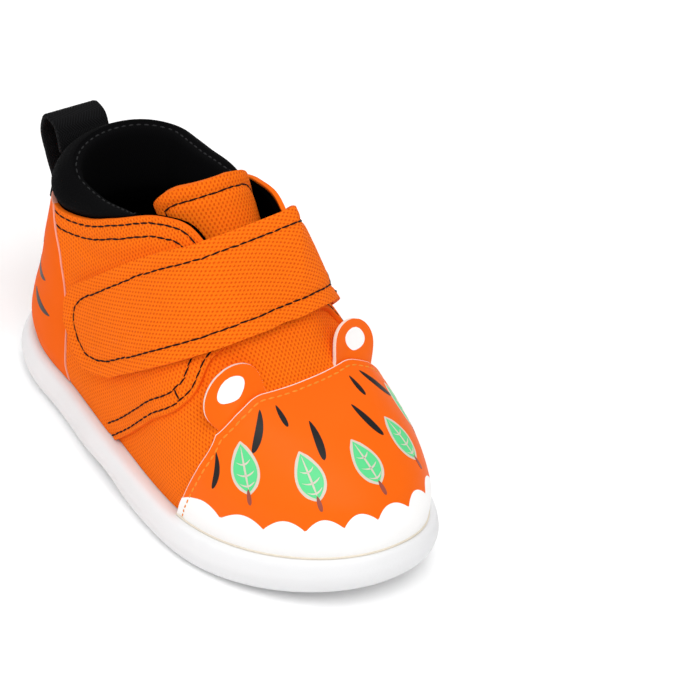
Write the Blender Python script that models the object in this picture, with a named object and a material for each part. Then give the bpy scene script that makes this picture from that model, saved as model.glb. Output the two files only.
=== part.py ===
"""Small child's strap shoe for the right foot.

A moulded sole carries a hollow cloth upper.  Panels, toe cap, heel counter and
strap are laid over the upper as thin solids worked out from the upper's own
surface.  Lengths are in millimetres and become metres when a mesh is made.
+X points to the toe, +Y to the inner side of the foot, +Z up.
"""
import math
from collections import namedtuple

import bmesh
import bpy
import numpy as np
from mathutils import Matrix

MM = 0.001

# Clearances and thicknesses
GAP = 0.3
SEAT = 0.6
QUARTER_SEAT = 0.8
STRAP_SEAT = 2.2
WALL = 2.0
PANEL = 0.9
CAP = 1.1
COUNTER = 1.3
STRAP = 2.2
TONGUE = 2.8
EAR = 1.1
WEBBING = 1.4
INSOLE = 3.0

# Sole
SOLE_LENGTH = 150.0
SOLE_TOP = 11.5
TOE_SPRING = 8.0
SPRING_START = 0.68
ARCH_RISE = 1.6
ARCH_START = 0.34
ARCH_END = 0.55
TOE_SWING = 6.0

# Plan shape: where along the length each half width is measured, and how blunt the ends are
PLAN_STATIONS = (0.0, 0.2, 0.42, 0.68, 1.0)
HEEL_ROUND = 0.2
HEEL_POWER = 2.0
TOE_ROUND = 0.62
TOE_POWER = 2.2

Plan = namedtuple(
    "Plan", "heel_x toe_x heel_outer heel_inner waist_outer waist_inner ball_outer ball_inner"
)
SOLE_PLAN = Plan(-75.0, 75.0, 26.0, 26.3, 31.5, 26.3, 36.3, 36.8)

# Side of the sole from the tread edge to the top edge: pulled in from the plan, share of the height
SoleStep = namedtuple("SoleStep", "inset height")
SOLE_SIDE = (
    SoleStep(4.0, 0.00),
    SoleStep(1.7, 0.10),
    SoleStep(0.4, 0.32),
    SoleStep(0.0, 0.55),
    SoleStep(0.5, 0.78),
    SoleStep(1.3, 0.94),
    SoleStep(2.4, 1.00),
)

# Upper: one row for each ring between the foot line and the top line
Ring = namedtuple("Ring", "share " + " ".join(Plan._fields))
UPPER_RINGS = (
    Ring(0.00, -70.0, 70.0, 21.2, 21.5, 26.0, 21.5, 31.0, 31.6),
    Ring(0.15, -70.8, 70.4, 23.0, 22.8, 26.2, 22.8, 32.2, 32.6),
    Ring(0.30, -69.7, 67.6, 23.3, 23.2, 25.8, 23.6, 31.8, 32.2),
    Ring(0.45, -68.1, 61.0, 22.9, 22.8, 25.2, 23.6, 29.8, 30.4),
    Ring(0.60, -66.6, 49.5, 22.5, 22.4, 24.2, 23.4, 26.8, 27.2),
    Ring(0.75, -65.4, 32.5, 21.9, 21.8, 22.8, 22.4, 23.0, 23.4),
    Ring(0.88, -64.5, 26.0, 21.3, 21.2, 21.4, 21.2, 19.4, 19.6),
    Ring(1.00, -63.8, 20.5, 20.7, 20.7, 19.4, 19.4, 14.4, 14.4),
)

# Height of the top line along the ring, from heel (0) to the foot of the throat (1)
TopLine = namedtuple("TopLine", "along outer inner")
TOP_LINE = (
    TopLine(0.00, 60.0, 60.0),
    TopLine(0.20, 62.8, 63.4),
    TopLine(0.31, 66.2, 67.0),
    TopLine(0.42, 71.8, 72.4),
    TopLine(0.60, 80.8, 80.8),
    TopLine(0.71, 83.2, 83.2),
    TopLine(0.81, 79.8, 79.8),
    TopLine(0.91, 70.2, 70.2),
    TopLine(1.00, 60.5, 60.5),
)
TOP_LINE_REACH = 3.5

# Seams on the side of the upper: place along the shoe and height above the floor
Spot = namedtuple("Spot", "x z")
CAP_SEAM = (Spot(28.0, 22.4), Spot(29.8, 30.5), Spot(30.0, 40.0))
CAP_SEAM_CROWN = (Spot(31.0, 45.4), Spot(30.6, 48.3))
CAP_SEAM_FOOT = 24.5
CAP_SEAM_RIDGE = 0.76
COUNTER_EDGE = (Spot(-37.6, 28.0), Spot(-40.0, 38.5), Spot(-44.6, 48.5), Spot(-49.5, 56.5))
COUNTER_FOOT = -36.0
COUNTER_TOP = -52.5
QUARTER_FOOT = -9.0
QUARTER_RISE = Spot(8.4, 32.0)
QUARTER_CORNER = Spot(17.6, 42.6)
QUARTER_FACING = (Spot(18.2, 50.4), Spot(17.8, 57.6))
QUARTER_FRONT_ALONG = 0.97
QUARTER_TOP_SHARE = 0.985
QUARTER_MARGIN = 0.02

# Strap: its rear and front edge, from the throat down each side
StrapRow = namedtuple("StrapRow", "rear front")
STRAP_OUTER = (
    StrapRow(Spot(-1.0, 78.7), Spot(19.75, 60.7)),
    StrapRow(Spot(-5.5, 75.0), Spot(16.9, 57.2)),
    StrapRow(Spot(-10.0, 71.2), Spot(13.6, 53.0)),
    StrapRow(Spot(-20.5, 61.4), Spot(5.0, 46.2)),
    StrapRow(Spot(-29.0, 52.8), Spot(-5.5, 37.4)),
    StrapRow(Spot(-35.3, 46.0), Spot(-15.5, 29.8)),
    StrapRow(Spot(-37.5, 40.0), Spot(-25.0, 26.5)),
    StrapRow(Spot(-36.8, 34.5), Spot(-31.0, 29.0)),
)
STRAP_INNER = (
    StrapRow(Spot(-0.6, 78.7), Spot(19.7, 60.9)),
    StrapRow(Spot(-4.4, 75.0), Spot(16.9, 58.0)),
    StrapRow(Spot(-8.0, 71.2), Spot(13.0, 53.0)),
    StrapRow(Spot(-15.0, 60.8), Spot(7.0, 45.2)),
    StrapRow(Spot(-19.5, 52.0), Spot(0.5, 39.0)),
    StrapRow(Spot(-20.0, 46.0), Spot(-6.5, 36.5)),
    StrapRow(Spot(-17.5, 42.0), Spot(-11.5, 38.0)),
)
STRAP_TOP_REAR = 2.0
STRAP_TOP_FRONT = 20.3
STRAP_REACH = 0.3

# Tongue: crest line, radius across it and how far round it bends to each side, in degrees
TongueRow = namedtuple("TongueRow", "x z radius outer_bend inner_bend")
TONGUE_ROWS = (
    TongueRow(25.5, 51.2, 22.0, 21.0, 21.0),
    TongueRow(18.6, 58.2, 18.0, 36.0, 36.0),
    TongueRow(10.0, 67.4, 14.0, 56.0, 56.0),
    TongueRow(2.0, 77.4, 13.2, 78.0, 78.0),
    TongueRow(-4.0, 85.0, 13.6, 98.0, 76.0),
    TongueRow(-7.0, 88.8, 13.8, 100.0, 60.0),
    TongueRow(-8.5, 90.7, 14.2, 80.0, 36.0),
    TongueRow(-9.1, 91.5, 14.6, 50.0, 12.0),
)
TONGUE_SHIFT = 0.3

# Collar: rise above the top line on each side, depth below it and thickness, along the ring from the heel
CollarRow = namedtuple("CollarRow", "along outer inner depth thickness")
COLLAR_ROWS = (
    CollarRow(0.00, 16.4, 16.4, 14.0, 6.5),
    CollarRow(0.10, 13.2, 13.9, 14.0, 6.5),
    CollarRow(0.25, 7.8, 11.2, 13.0, 6.0),
    CollarRow(0.42, 2.8, 5.2, 12.0, 4.4),
    CollarRow(0.50, 1.8, 2.2, 10.0, 2.8),
)
COLLAR_BULGE = 3.2

# Pull loop: webbing route behind the heel, seen from the side
LOOP_WIDTH = 17.2
LOOP_MIDDLE = -0.8
LOOP_SKEW = 0.07
LOOP_ROUTE = (
    Spot(-68.4, 48.0),
    Spot(-67.8, 54.0),
    Spot(-71.8, 61.4),
    Spot(-75.0, 68.0),
    Spot(-74.3, 71.2),
    Spot(-71.9, 70.8),
    Spot(-69.6, 67.4),
    Spot(-68.4, 64.4),
)

# Ear tabs: where the base starts and ends on the seam, size and lean
Ear = namedtuple("Ear", "name side start end height back out")
EARS = (
    Ear("outer_ear_tab", -1, 10.0, 25.5, 12.2, 0.60, 0.34),
    Ear("inner_ear_tab", 1, 12.6, 26.3, 12.0, 0.60, 0.45),
)
EAR_NECK = 0.9
EAR_BULGE = 0.98
EAR_WIDEST = 0.42
EAR_SETBACK = 0.016
EAR_SEAT = 1.2

# Mesh density
AROUND = 64
UP = 11
PATCH_LONG = 16
PATCH_SHORT = 10
BRIDGE = 12
COLLAR_SECTIONS = 41
LOOP_POINTS = 19

# Looks: linear colour, roughness
Look = namedtuple("Look", "colour roughness")
CANVAS = Look((1.0, 0.20, 0.010), 0.85)
COATED = Look((1.0, 0.165, 0.012), 0.42)
RUBBER = Look((0.86, 0.84, 0.83), 0.60)
JERSEY = Look((0.010, 0.010, 0.011), 0.90)
LINING = Look((0.012, 0.012, 0.013), 0.92)


def hermite(s, start, end, leans):
    """Cubic from start to end with the given leans at both ends; s runs from 0 to 1."""
    return (
        (1 + 2 * s) * (1 - s) ** 2 * start
        + s * (1 - s) ** 2 * leans[0]
        + s * s * (3 - 2 * s) * end
        + s * s * (s - 1) * leans[1]
    )


def smooth(x, xs, ys):
    """Monotone cubic curve through the points (xs, ys)."""
    xs = np.asarray(xs, float)
    ys = np.asarray(ys, float)
    step = np.diff(xs)
    slope = np.diff(ys) / step
    lean = np.zeros_like(ys)
    lean[0] = slope[0]
    lean[-1] = slope[-1]
    for i in range(1, len(xs) - 1):
        if slope[i - 1] * slope[i] > 0.0:
            before = 2.0 * step[i] + step[i - 1]
            after = step[i] + 2.0 * step[i - 1]
            lean[i] = (before + after) / (before / slope[i - 1] + after / slope[i])
    x = min(max(x, xs[0]), xs[-1])
    i = min(int(np.searchsorted(xs, x, side="right")) - 1, len(xs) - 2)
    s = (x - xs[i]) / step[i]
    return hermite(s, ys[i], ys[i + 1], (step[i] * lean[i], step[i] * lean[i + 1]))


def flowing(x, xs, ys):
    """Rounded cubic curve through the points (xs, ys), free to swing a little past them."""
    xs = np.asarray(xs, float)
    ys = np.asarray(ys, float)
    lean = np.gradient(ys, xs)
    i = min(max(int(np.searchsorted(xs, x, side="right")) - 1, 0), len(xs) - 2)
    step = xs[i + 1] - xs[i]
    return hermite((x - xs[i]) / step, ys[i], ys[i + 1], lean[i : i + 2] * step)


def half_width(plan, along, outer):
    """Half width of a plan at a share of its length, on the outer or inner side."""
    heel = plan.heel_outer if outer else plan.heel_inner
    waist = plan.waist_outer if outer else plan.waist_inner
    ball = plan.ball_outer if outer else plan.ball_inner
    width = flowing(along, PLAN_STATIONS, (heel, heel, waist, ball, 0.97 * ball))
    if along < HEEL_ROUND:
        end = (HEEL_ROUND - along) / HEEL_ROUND
        width *= max(1.0 - end ** HEEL_POWER, 0.0) ** (1.0 / HEEL_POWER)
    if along > TOE_ROUND:
        end = (along - TOE_ROUND) / (1.0 - TOE_ROUND)
        width *= max(1.0 - end ** TOE_POWER, 0.0) ** (1.0 / TOE_POWER)
    return width


def plan_point(plan, turn, swing):
    """Point of a plan: turn is 0 at the toe, negative on the outer side, pi at the heel."""
    along = 0.5 + 0.5 * math.cos(turn)
    side = -1.0 if math.sin(turn) < 0.0 else 1.0
    middle = swing * max(2.0 * along - 1.0, 0.0) ** 2
    x = plan.heel_x + (plan.toe_x - plan.heel_x) * along
    return x, middle + side * half_width(plan, along, side < 0.0)


def sole_rise(x):
    """Lift of the sole's underside by the arch and the toe spring."""
    along = x / SOLE_LENGTH + 0.5
    toe = max(along - SPRING_START, 0.0) / (1.0 - SPRING_START)
    arch = 0.0
    if ARCH_START < along < ARCH_END:
        arch = math.sin(math.pi * (along - ARCH_START) / (ARCH_END - ARCH_START)) ** 2
    return TOE_SPRING * toe * toe, ARCH_RISE * arch


def ring_plan(share):
    """Plan of the upper's ring at a share of the way up."""
    shares = [ring.share for ring in UPPER_RINGS]
    columns = ([getattr(ring, field) for ring in UPPER_RINGS] for field in Plan._fields)
    return Plan(*(smooth(share, shares, column) for column in columns))


def ring_height(x, along, share, outer):
    """Height of the upper's ring over the floor."""
    foot = SOLE_TOP + GAP + sole_rise(x)[0]
    level = TOP_LINE[0].outer + (TOP_LINE[-1].outer - TOP_LINE[0].outer) * along
    heights = [row.outer if outer else row.inner for row in TOP_LINE]
    top = smooth(along, [row.along for row in TOP_LINE], heights)
    return foot + (level - foot) * share + (top - level) * share ** TOP_LINE_REACH


def skin(turn, share):
    """Point on the outside of the upper's wall."""
    turn = (turn + math.pi) % (2.0 * math.pi) - math.pi
    x, y = plan_point(ring_plan(share), turn, TOE_SWING * (1.0 - share))
    return np.array((x, y, ring_height(x, 0.5 + 0.5 * math.cos(turn), share, turn < 0.0)))


def skin_normal(turn, share):
    """Outward direction of the upper's wall, level at the foot line."""
    reach = 0.02
    low = max(share - reach, 0.0)
    high = min(share + reach, 1.0)
    around = skin(turn + reach, share) - skin(turn - reach, share)
    upward = skin(turn, high) - skin(turn, low)
    normal = np.cross(around, upward)
    normal[2] *= min(share / 0.12, 1.0)
    return normal / np.linalg.norm(normal)


def upper_point(turn, share, offset):
    """Point at a distance outside (or, below zero, inside) the upper's wall."""
    base = skin(turn, share)
    point = base + offset * skin_normal(turn, share)
    near_sole = max(1.0 - share / 0.1, 0.0)
    point[2] += near_sole * (sole_rise(point[0])[0] - sole_rise(base[0])[0])
    return point


def upward(turn):
    """Direction in which the wall would go on above its top line."""
    step = skin(turn, 1.0) - skin(turn, 0.97)
    return step / np.linalg.norm(step)


def turn_at(x, share, side):
    """Turn of a ring at a place along the shoe; side is -1 outer, 1 inner."""
    plan = ring_plan(share)
    along = (x - plan.heel_x) / (plan.toe_x - plan.heel_x)
    return side * math.acos(min(max(2.0 * along - 1.0, -1.0), 1.0))


def on_side(spot, side):
    """Turn and share of the wall's point with the given x and z."""
    low, high = 0.0, 1.0
    for _ in range(40):
        share = 0.5 * (low + high)
        if skin(turn_at(spot.x, share, side), share)[2] < spot.z:
            low = share
        else:
            high = share
    return np.array((turn_at(spot.x, share, side), share))


def through(points, count):
    """Even row of points on a smooth curve through the given ones."""
    points = np.asarray(points, float)
    chord = np.concatenate(([0.0], np.cumsum(np.linalg.norm(np.diff(points, axis=0), axis=1))))
    places = np.linspace(0.0, chord[-1], count)
    return np.array([[smooth(s, chord, points[:, k]) for k in range(points.shape[1])] for s in places])


def coons(bottom, top, left, right):
    """Fill four bounding rows with a grid; bottom and top run from left to right."""
    columns, rows = len(bottom), len(left)
    grid = np.zeros((rows, columns, bottom.shape[1]))
    for j in range(rows):
        b = j / (rows - 1)
        for i in range(columns):
            a = i / (columns - 1)
            ruled = (1 - b) * bottom[i] + b * top[i] + (1 - a) * left[j] + a * right[j]
            corner = (1 - b) * ((1 - a) * bottom[0] + a * bottom[-1]) + b * ((1 - a) * top[0] + a * top[-1])
            grid[j, i] = ruled - corner
    return grid


def lay(grid, offset):
    """Carry a grid of turns and shares to a distance from the upper's wall."""
    return np.array([[upper_point(turn, share, offset) for turn, share in row] for row in grid])


def make_material(name, look):
    """Plain material with a colour and a roughness."""
    material = bpy.data.materials.new(name)
    material.use_nodes = True
    shader = material.node_tree.nodes["Principled BSDF"]
    shader.inputs["Base Color"].default_value = (*look.colour, 1.0)
    shader.inputs["Roughness"].default_value = look.roughness
    shader.inputs["Metallic"].default_value = 0.0
    return material


def finish(name, bm, look):
    """Turn a closed mesh in millimetres into a named object in metres."""
    bmesh.ops.scale(bm, vec=(MM, MM, MM), verts=bm.verts)
    bmesh.ops.triangulate(bm, faces=bm.faces)
    bmesh.ops.recalc_face_normals(bm, faces=bm.faces)
    if bm.calc_volume(signed=True) < 0.0:
        bmesh.ops.reverse_faces(bm, faces=bm.faces)
    mesh = bpy.data.meshes.new(name)
    bm.to_mesh(mesh)
    bm.free()
    mesh.shade_smooth()
    mesh.set_sharp_from_angle(angle=math.radians(40.0))
    mesh.materials.append(make_material(name, look))
    obj = bpy.data.objects.new(name, mesh)
    bpy.context.collection.objects.link(obj)
    return obj


def add_rows(bm, grid):
    """Vertices of a grid of points, row by row."""
    return [[bm.verts.new(point) for point in row] for row in grid]


def join_rows(bm, rows, closed):
    """Quads between neighbouring rows; closed rows run round."""
    for low, high in zip(rows, rows[1:]):
        count = len(low)
        for i in range(count if closed else count - 1):
            k = (i + 1) % count
            bm.faces.new((low[i], low[k], high[k], high[i]))


def border(rows):
    """Vertices round the edge of a grid."""
    far = [row[-1] for row in rows[1:-1]]
    near = [row[0] for row in rows[-2:0:-1]]
    return rows[0] + far + rows[-1][::-1] + near


def slab(name, inside, outside, look):
    """Thin solid between two grids of the same layout."""
    bm = bmesh.new()
    inner = add_rows(bm, inside)
    outer = add_rows(bm, outside)
    join_rows(bm, outer, False)
    join_rows(bm, [row[::-1] for row in inner], False)
    join_rows(bm, [border(inner), border(outer)], True)
    return finish(name, bm, look)


def tube(name, sections, look):
    """Solid ring or bar from closed sections, with flat ends."""
    bm = bmesh.new()
    rows = add_rows(bm, sections)
    join_rows(bm, rows, True)
    bm.faces.new(rows[0][::-1])
    bm.faces.new(rows[-1])
    return finish(name, bm, look)


def floor_solid(name, rings, look):
    """Solid closed below and above by strips from the outer to the inner side."""
    bm = bmesh.new()
    rows = add_rows(bm, rings)
    join_rows(bm, rows, True)
    half = len(rows[0]) // 2
    for row in (rows[0], rows[-1]):
        for i in range(half):
            quad = (row[i], row[i + 1], row[-i - 1], row[-i])
            bm.faces.new(dict.fromkeys(quad))
    return finish(name, bm, look)


def turns():
    """Turns round a plan, from the toe along the inner side to the heel and back."""
    return [2.0 * math.pi * i / AROUND for i in range(AROUND)]


def build_outsole():
    """Unit sole with a rounded side, an arch and toe spring."""
    rings = []
    for step in SOLE_SIDE:
        plan = Plan(
            SOLE_PLAN.heel_x + step.inset,
            SOLE_PLAN.toe_x - step.inset,
            *(width - step.inset for width in SOLE_PLAN[2:]),
        )
        ring = []
        for turn in turns():
            x, y = plan_point(plan, turn, TOE_SWING)
            spring, arch = sole_rise(x)
            low = spring + arch
            ring.append((x, y, low + (SOLE_TOP + spring - low) * step.height))
        rings.append(ring)
    return floor_solid("outsole", rings, RUBBER)


def build_upper():
    """Hollow wall from the foot line to the top line."""
    shares = [i / UP for i in range(UP + 1)]
    outside = [[upper_point(turn, share, 0.0) for turn in turns()] for share in shares]
    inside = [[upper_point(turn, share, -WALL) for turn in turns()] for share in reversed(shares)]
    bm = bmesh.new()
    rows = add_rows(bm, outside + inside)
    join_rows(bm, rows + rows[:1], True)
    return finish("upper", bm, CANVAS)


def build_insole():
    """Footbed that fills the upper's floor."""
    rings = []
    for share, lift in ((0.0, 0.0), (0.055, INSOLE)):
        ring = []
        for turn in turns():
            x, y, _ = upper_point(turn, share, -WALL - 2.0 * GAP)
            ring.append((x, y, SOLE_TOP + GAP + sole_rise(x)[0] + lift))
        rings.append(ring)
    return floor_solid("insole", rings, LINING)


def cap_side(side):
    """Rear edge of the toe cap up one side, in turns and shares."""
    foot = np.array((turn_at(CAP_SEAM_FOOT, 0.0, side), 0.0))
    return through([foot] + [on_side(spot, side) for spot in CAP_SEAM], PATCH_SHORT + 1)


def cap_crown():
    """Rear edge of the toe cap over the top, from the outer to the inner side."""
    outer, inner = ([on_side(spot, side) for spot in CAP_SEAM[-1:] + CAP_SEAM_CROWN] for side in (-1, 1))
    ridge = np.array((0.0, CAP_SEAM_RIDGE))
    return through(outer + [ridge] + inner[::-1], PATCH_LONG + 1)


def build_toe_cap():
    """Cap over the toe, from the foot line to its rear seam."""
    outer = cap_side(-1)
    inner = cap_side(1)
    foot = through([outer[0], inner[0]], PATCH_LONG + 1)
    grid = coons(foot, cap_crown(), outer, inner)
    return slab("toe_cap", lay(grid, SEAT), lay(grid, SEAT + CAP), COATED)


def counter_edge(side):
    """Front edge of the heel counter in turns and shares."""
    foot = np.array((turn_at(COUNTER_FOOT, 0.0, side), 0.0))
    top = np.array((turn_at(COUNTER_TOP, QUARTER_TOP_SHARE, side), QUARTER_TOP_SHARE))
    return through([foot] + [on_side(spot, side) for spot in COUNTER_EDGE] + [top], PATCH_SHORT + 1)


def build_heel_counter():
    """Panel round the back of the heel."""
    outer = counter_edge(-1)
    outer[:, 0] += 2.0 * math.pi
    inner = counter_edge(1)
    foot = through([inner[0], outer[0]], PATCH_LONG + 1)
    top = through([inner[-1], outer[-1]], PATCH_LONG + 1)
    grid = coons(foot, top, inner, outer)
    return slab("heel_counter", lay(grid, SEAT), lay(grid, SEAT + COUNTER), COATED)


def build_quarter(name, side):
    """Side panel between the heel counter, the top line, the throat and the sole."""
    rear = counter_edge(side) + np.array((-side * QUARTER_MARGIN, 0.0))
    front_turn = side * math.acos(2.0 * QUARTER_FRONT_ALONG - 1.0)
    throat = np.array((front_turn, QUARTER_TOP_SHARE))
    foot_front = np.array((turn_at(QUARTER_FOOT, 0.0, side), 0.0))
    corner = on_side(QUARTER_CORNER, side)
    rise = through([foot_front, on_side(QUARTER_RISE, side), corner], PATCH_SHORT // 2 + 1)
    facing = [corner] + [on_side(spot, side) for spot in QUARTER_FACING] + [throat]
    front = np.concatenate((rise[:-1], through(facing, PATCH_SHORT // 2 + 1)))
    foot = through([rear[0], foot_front], PATCH_LONG + 1)
    top = through([rear[-1], throat], PATCH_LONG + 1)
    grid = coons(foot, top, rear, front)
    return slab(name, lay(grid, QUARTER_SEAT), lay(grid, QUARTER_SEAT + PANEL), CANVAS)


def strap_half(rows, side):
    """Turns and shares of the strap on one side, from its end up to the top line."""
    edges = []
    for top, spots in zip((STRAP_TOP_REAR, STRAP_TOP_FRONT), zip(*rows)):
        route = [on_side(spot, side) for spot in reversed(spots)]
        edges.append(through(route + [np.array((turn_at(top, 1.0, side), 1.0))], PATCH_LONG))
    rear, front = edges
    across = np.linspace(0.0, 1.0, PATCH_SHORT)[None, :, None]
    return rear[:, None, :] * (1.0 - across) + front[:, None, :] * across


def grid_normals(grid):
    """Direction square to a grid of points, at each of them."""
    normals = np.cross(np.gradient(grid, axis=1), np.gradient(grid, axis=0))
    return normals / np.linalg.norm(normals, axis=2)[:, :, None]


def strap_middle():
    """Strap's middle layer: up the outer side, over the throat and down the inner side."""
    offset = STRAP_SEAT + STRAP / 2
    halves = [strap_half(STRAP_OUTER, -1), strap_half(STRAP_INNER, 1)]
    outer, inner = (lay(half, offset) for half in halves)
    leave, arrive = (side[-1] - side[-2] for side in (outer, inner))
    leave, arrive = (run / np.linalg.norm(run, axis=1)[:, None] for run in (leave, arrive))
    span = np.linalg.norm(inner[-1] - outer[-1], axis=1)[:, None] * STRAP_REACH
    places = np.linspace(0.0, 1.0, BRIDGE + 1)[1:-1]
    bridge = [hermite(s, outer[-1], inner[-1], (span * leave, -span * arrive)) for s in places]
    return np.concatenate((outer, np.array(bridge), inner[::-1]))


def build_strap():
    """Strap laid over both quarters and the throat."""
    middle = strap_middle()
    half = STRAP / 2 * grid_normals(middle)
    return slab("strap", middle - half, middle + half, CANVAS)


def tongue_surface(depth):
    """Tongue's face at a depth below its upper side."""
    crest = through(TONGUE_ROWS, PATCH_LONG + 1)
    lean = np.gradient(crest[:, :2], axis=0)
    lean /= np.linalg.norm(lean, axis=1)[:, None]
    grid = []
    for (x, z, radius, outer, inner), (run, rise) in zip(crest, lean):
        out = np.array((rise, 0.0, -run))
        across = np.array((0.0, 1.0, 0.0))
        centre = np.array((x, TONGUE_SHIFT, z)) - radius * out
        bends = np.radians(np.linspace(-outer, inner, PATCH_SHORT + 1))
        grid.append([centre + (radius - depth) * (math.cos(a) * out + math.sin(a) * across) for a in bends])
    return np.array(grid)


def build_tongue():
    """Padded tongue under the throat."""
    return slab("tongue", tongue_surface(TONGUE), tongue_surface(0.0), CANVAS)


def collar_section(turn):
    """Closed outline of the padded collar at one turn."""
    along = 0.5 + 0.5 * math.cos(turn)
    stations = [row.along for row in COLLAR_ROWS]
    rise = smooth(along, stations, [row.inner if math.sin(turn) > 0.0 else row.outer for row in COLLAR_ROWS])
    depth = smooth(along, stations, [row.depth for row in COLLAR_ROWS])
    thick = smooth(along, stations, [row.thickness for row in COLLAR_ROWS])
    height = np.linalg.norm(skin(turn, 1.0) - skin(turn, 0.8)) / 0.2
    inset = WALL + GAP
    bulge = COLLAR_BULGE * rise / COLLAR_ROWS[0].inner
    profile = (
        (-inset, -depth),
        (-inset, -0.5 * depth),
        (-inset, GAP),
        (-0.1, GAP),
        (0.8 * bulge, 0.2 * rise + GAP),
        (bulge, 0.42 * rise),
        (0.6 * bulge, 0.72 * rise),
        (-0.1 * thick, 0.93 * rise),
        (-0.42 * thick, rise),
        (-0.8 * thick, 0.8 * rise),
        (-inset - 0.8 * thick, -0.1 * depth),
        (-inset - 0.6 * thick, -0.55 * depth),
        (-inset - 0.8, -depth),
    )
    section = []
    for offset, level in profile:
        share = min(1.0 + level / height, 1.0)
        section.append(upper_point(turn, share, offset) + upward(turn) * max(level, 0.0))
    return section


def build_collar():
    """Padded roll along the top line, round the heel."""
    last = math.acos(2.0 * COLLAR_ROWS[-1].along - 1.0)
    sections = [collar_section(turn) for turn in np.linspace(last, 2.0 * math.pi - last, COLLAR_SECTIONS)]
    return tube("collar", sections, JERSEY)


def build_pull_loop():
    """Webbing folded into a loop behind the heel."""
    route = through(LOOP_ROUTE, LOOP_POINTS)
    lean = np.gradient(route, axis=0)
    lean /= np.linalg.norm(lean, axis=1)[:, None]
    sides = []
    for half in (-0.5, 0.5):
        edge = route + half * WEBBING * np.stack((-lean[:, 1], lean[:, 0]), axis=1)
        across = (LOOP_MIDDLE - LOOP_WIDTH / 2, LOOP_MIDDLE + LOOP_WIDTH / 2)
        sides.append([[(x, y, z - LOOP_SKEW * y) for y in across] for x, z in edge])
    return slab("pull_loop", sides[0], sides[1], JERSEY)


def build_ear_tab(ear):
    """Rounded tab that stands up from the cap's rear seam and flattens towards its top."""
    seam = np.concatenate((cap_side(-1)[:-1], cap_crown(), cap_side(1)[-2::-1]))
    across = [skin(turn, share)[1] for turn, share in seam]

    def base(q):
        y = 0.5 * (ear.start + ear.end) + 0.5 * (ear.end - ear.start) * q
        turn, share = (np.interp(ear.side * y, across, seam[:, k]) for k in (0, 1))
        return upper_point(turn, share + EAR_SETBACK, EAR_SEAT)

    lean = np.array((-ear.back, ear.side * ear.out, 1.0))
    lean /= np.linalg.norm(lean)
    front = np.array((1.0, 0.0, ear.back))
    front /= np.linalg.norm(front)
    middle = 0.5 * (base(1.0) + base(-1.0))
    chord = 0.5 * (base(1.0) - base(-1.0))
    grid = []
    for r in np.linspace(0.0, 0.97, PATCH_SHORT):
        swell = EAR_NECK + (EAR_BULGE - EAR_NECK) * math.sin(0.5 * math.pi * min(r / EAR_WIDEST, 1.0))
        reach = swell * math.sqrt(1.0 - max(r - EAR_WIDEST, 0.0) ** 2 / (1.0 - EAR_WIDEST) ** 2)
        row = []
        for q in np.linspace(-reach, reach, PATCH_SHORT):
            within = min(max(q, -1.0), 1.0)
            sag = base(within) - middle - within * chord
            row.append(middle + q * chord + (1.0 - r) ** 2 * sag + lean * ear.height * r)
        grid.append(row)
    grid = np.array(grid)
    return slab(ear.name, grid - front * EAR / 2, grid + front * EAR / 2, COATED)


def stand_on_origin(objects):
    """Move the pieces together so that the middle of their box stands on the origin."""
    points = [vertex.co for obj in objects for vertex in obj.data.vertices]
    low = np.min(points, axis=0)
    high = np.max(points, axis=0)
    shift = Matrix.Translation((-0.5 * (low[0] + high[0]), -0.5 * (low[1] + high[1]), -low[2]))
    for obj in objects:
        obj.data.transform(shift)


def main():
    """Build every piece of the shoe."""
    for obj in list(bpy.data.objects):
        bpy.data.objects.remove(obj, do_unlink=True)
    pieces = [
        build_outsole(),
        build_insole(),
        build_upper(),
        build_toe_cap(),
        build_heel_counter(),
        build_quarter("outer_quarter", -1),
        build_quarter("inner_quarter", 1),
        build_collar(),
        build_tongue(),
        build_strap(),
        build_pull_loop(),
    ]
    pieces += [build_ear_tab(ear) for ear in EARS]
    stand_on_origin(pieces)


main()
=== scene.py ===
"""Looks of a small child's strap shoe for the right foot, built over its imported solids.

Places are worked out in millimetres and become metres when a mesh is made.
+X points to the toe, +Y to the inner side of the foot, +Z up.
"""
import logging
import math
from collections.abc import Iterator, Sequence
from contextlib import contextmanager
from dataclasses import dataclass, field
from enum import Enum
from typing import Any, ClassVar, NamedTuple

import bpy
import numpy as np
from mathutils import Matrix, Vector
from mathutils.bvhtree import BVHTree


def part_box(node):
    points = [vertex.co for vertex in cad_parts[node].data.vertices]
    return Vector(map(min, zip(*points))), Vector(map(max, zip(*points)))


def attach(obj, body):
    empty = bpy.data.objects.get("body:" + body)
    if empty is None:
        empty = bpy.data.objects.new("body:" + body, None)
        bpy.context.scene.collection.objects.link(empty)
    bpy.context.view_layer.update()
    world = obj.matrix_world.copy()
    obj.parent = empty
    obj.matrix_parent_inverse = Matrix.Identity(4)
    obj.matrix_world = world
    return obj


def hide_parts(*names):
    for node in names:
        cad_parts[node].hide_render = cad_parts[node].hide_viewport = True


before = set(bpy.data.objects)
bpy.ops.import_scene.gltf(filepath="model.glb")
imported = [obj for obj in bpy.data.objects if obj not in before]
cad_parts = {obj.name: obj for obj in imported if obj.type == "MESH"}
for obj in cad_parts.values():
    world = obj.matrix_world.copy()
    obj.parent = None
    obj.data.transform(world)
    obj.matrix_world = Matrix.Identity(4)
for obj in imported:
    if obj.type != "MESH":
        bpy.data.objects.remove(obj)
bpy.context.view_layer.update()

LOG = logging.getLogger("shoe")
Array = np.ndarray
Triple = tuple[float, float, float]
MM = 0.001
BODY = "root"
THREAD_MAP = "Thread"
SEED = 11
FINE_STEP = 0.6
LINE_STEP = 0.5
WELD_WITHIN = 1e-6
SHARP_EDGE = 50.0
SMOOTH_BELOW = 48.0
CUT_ROUNDING = 0.28
FILM = 0.12
LOW_PRINT = 0.05
MIDDLE_PRINT = 0.08
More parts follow.
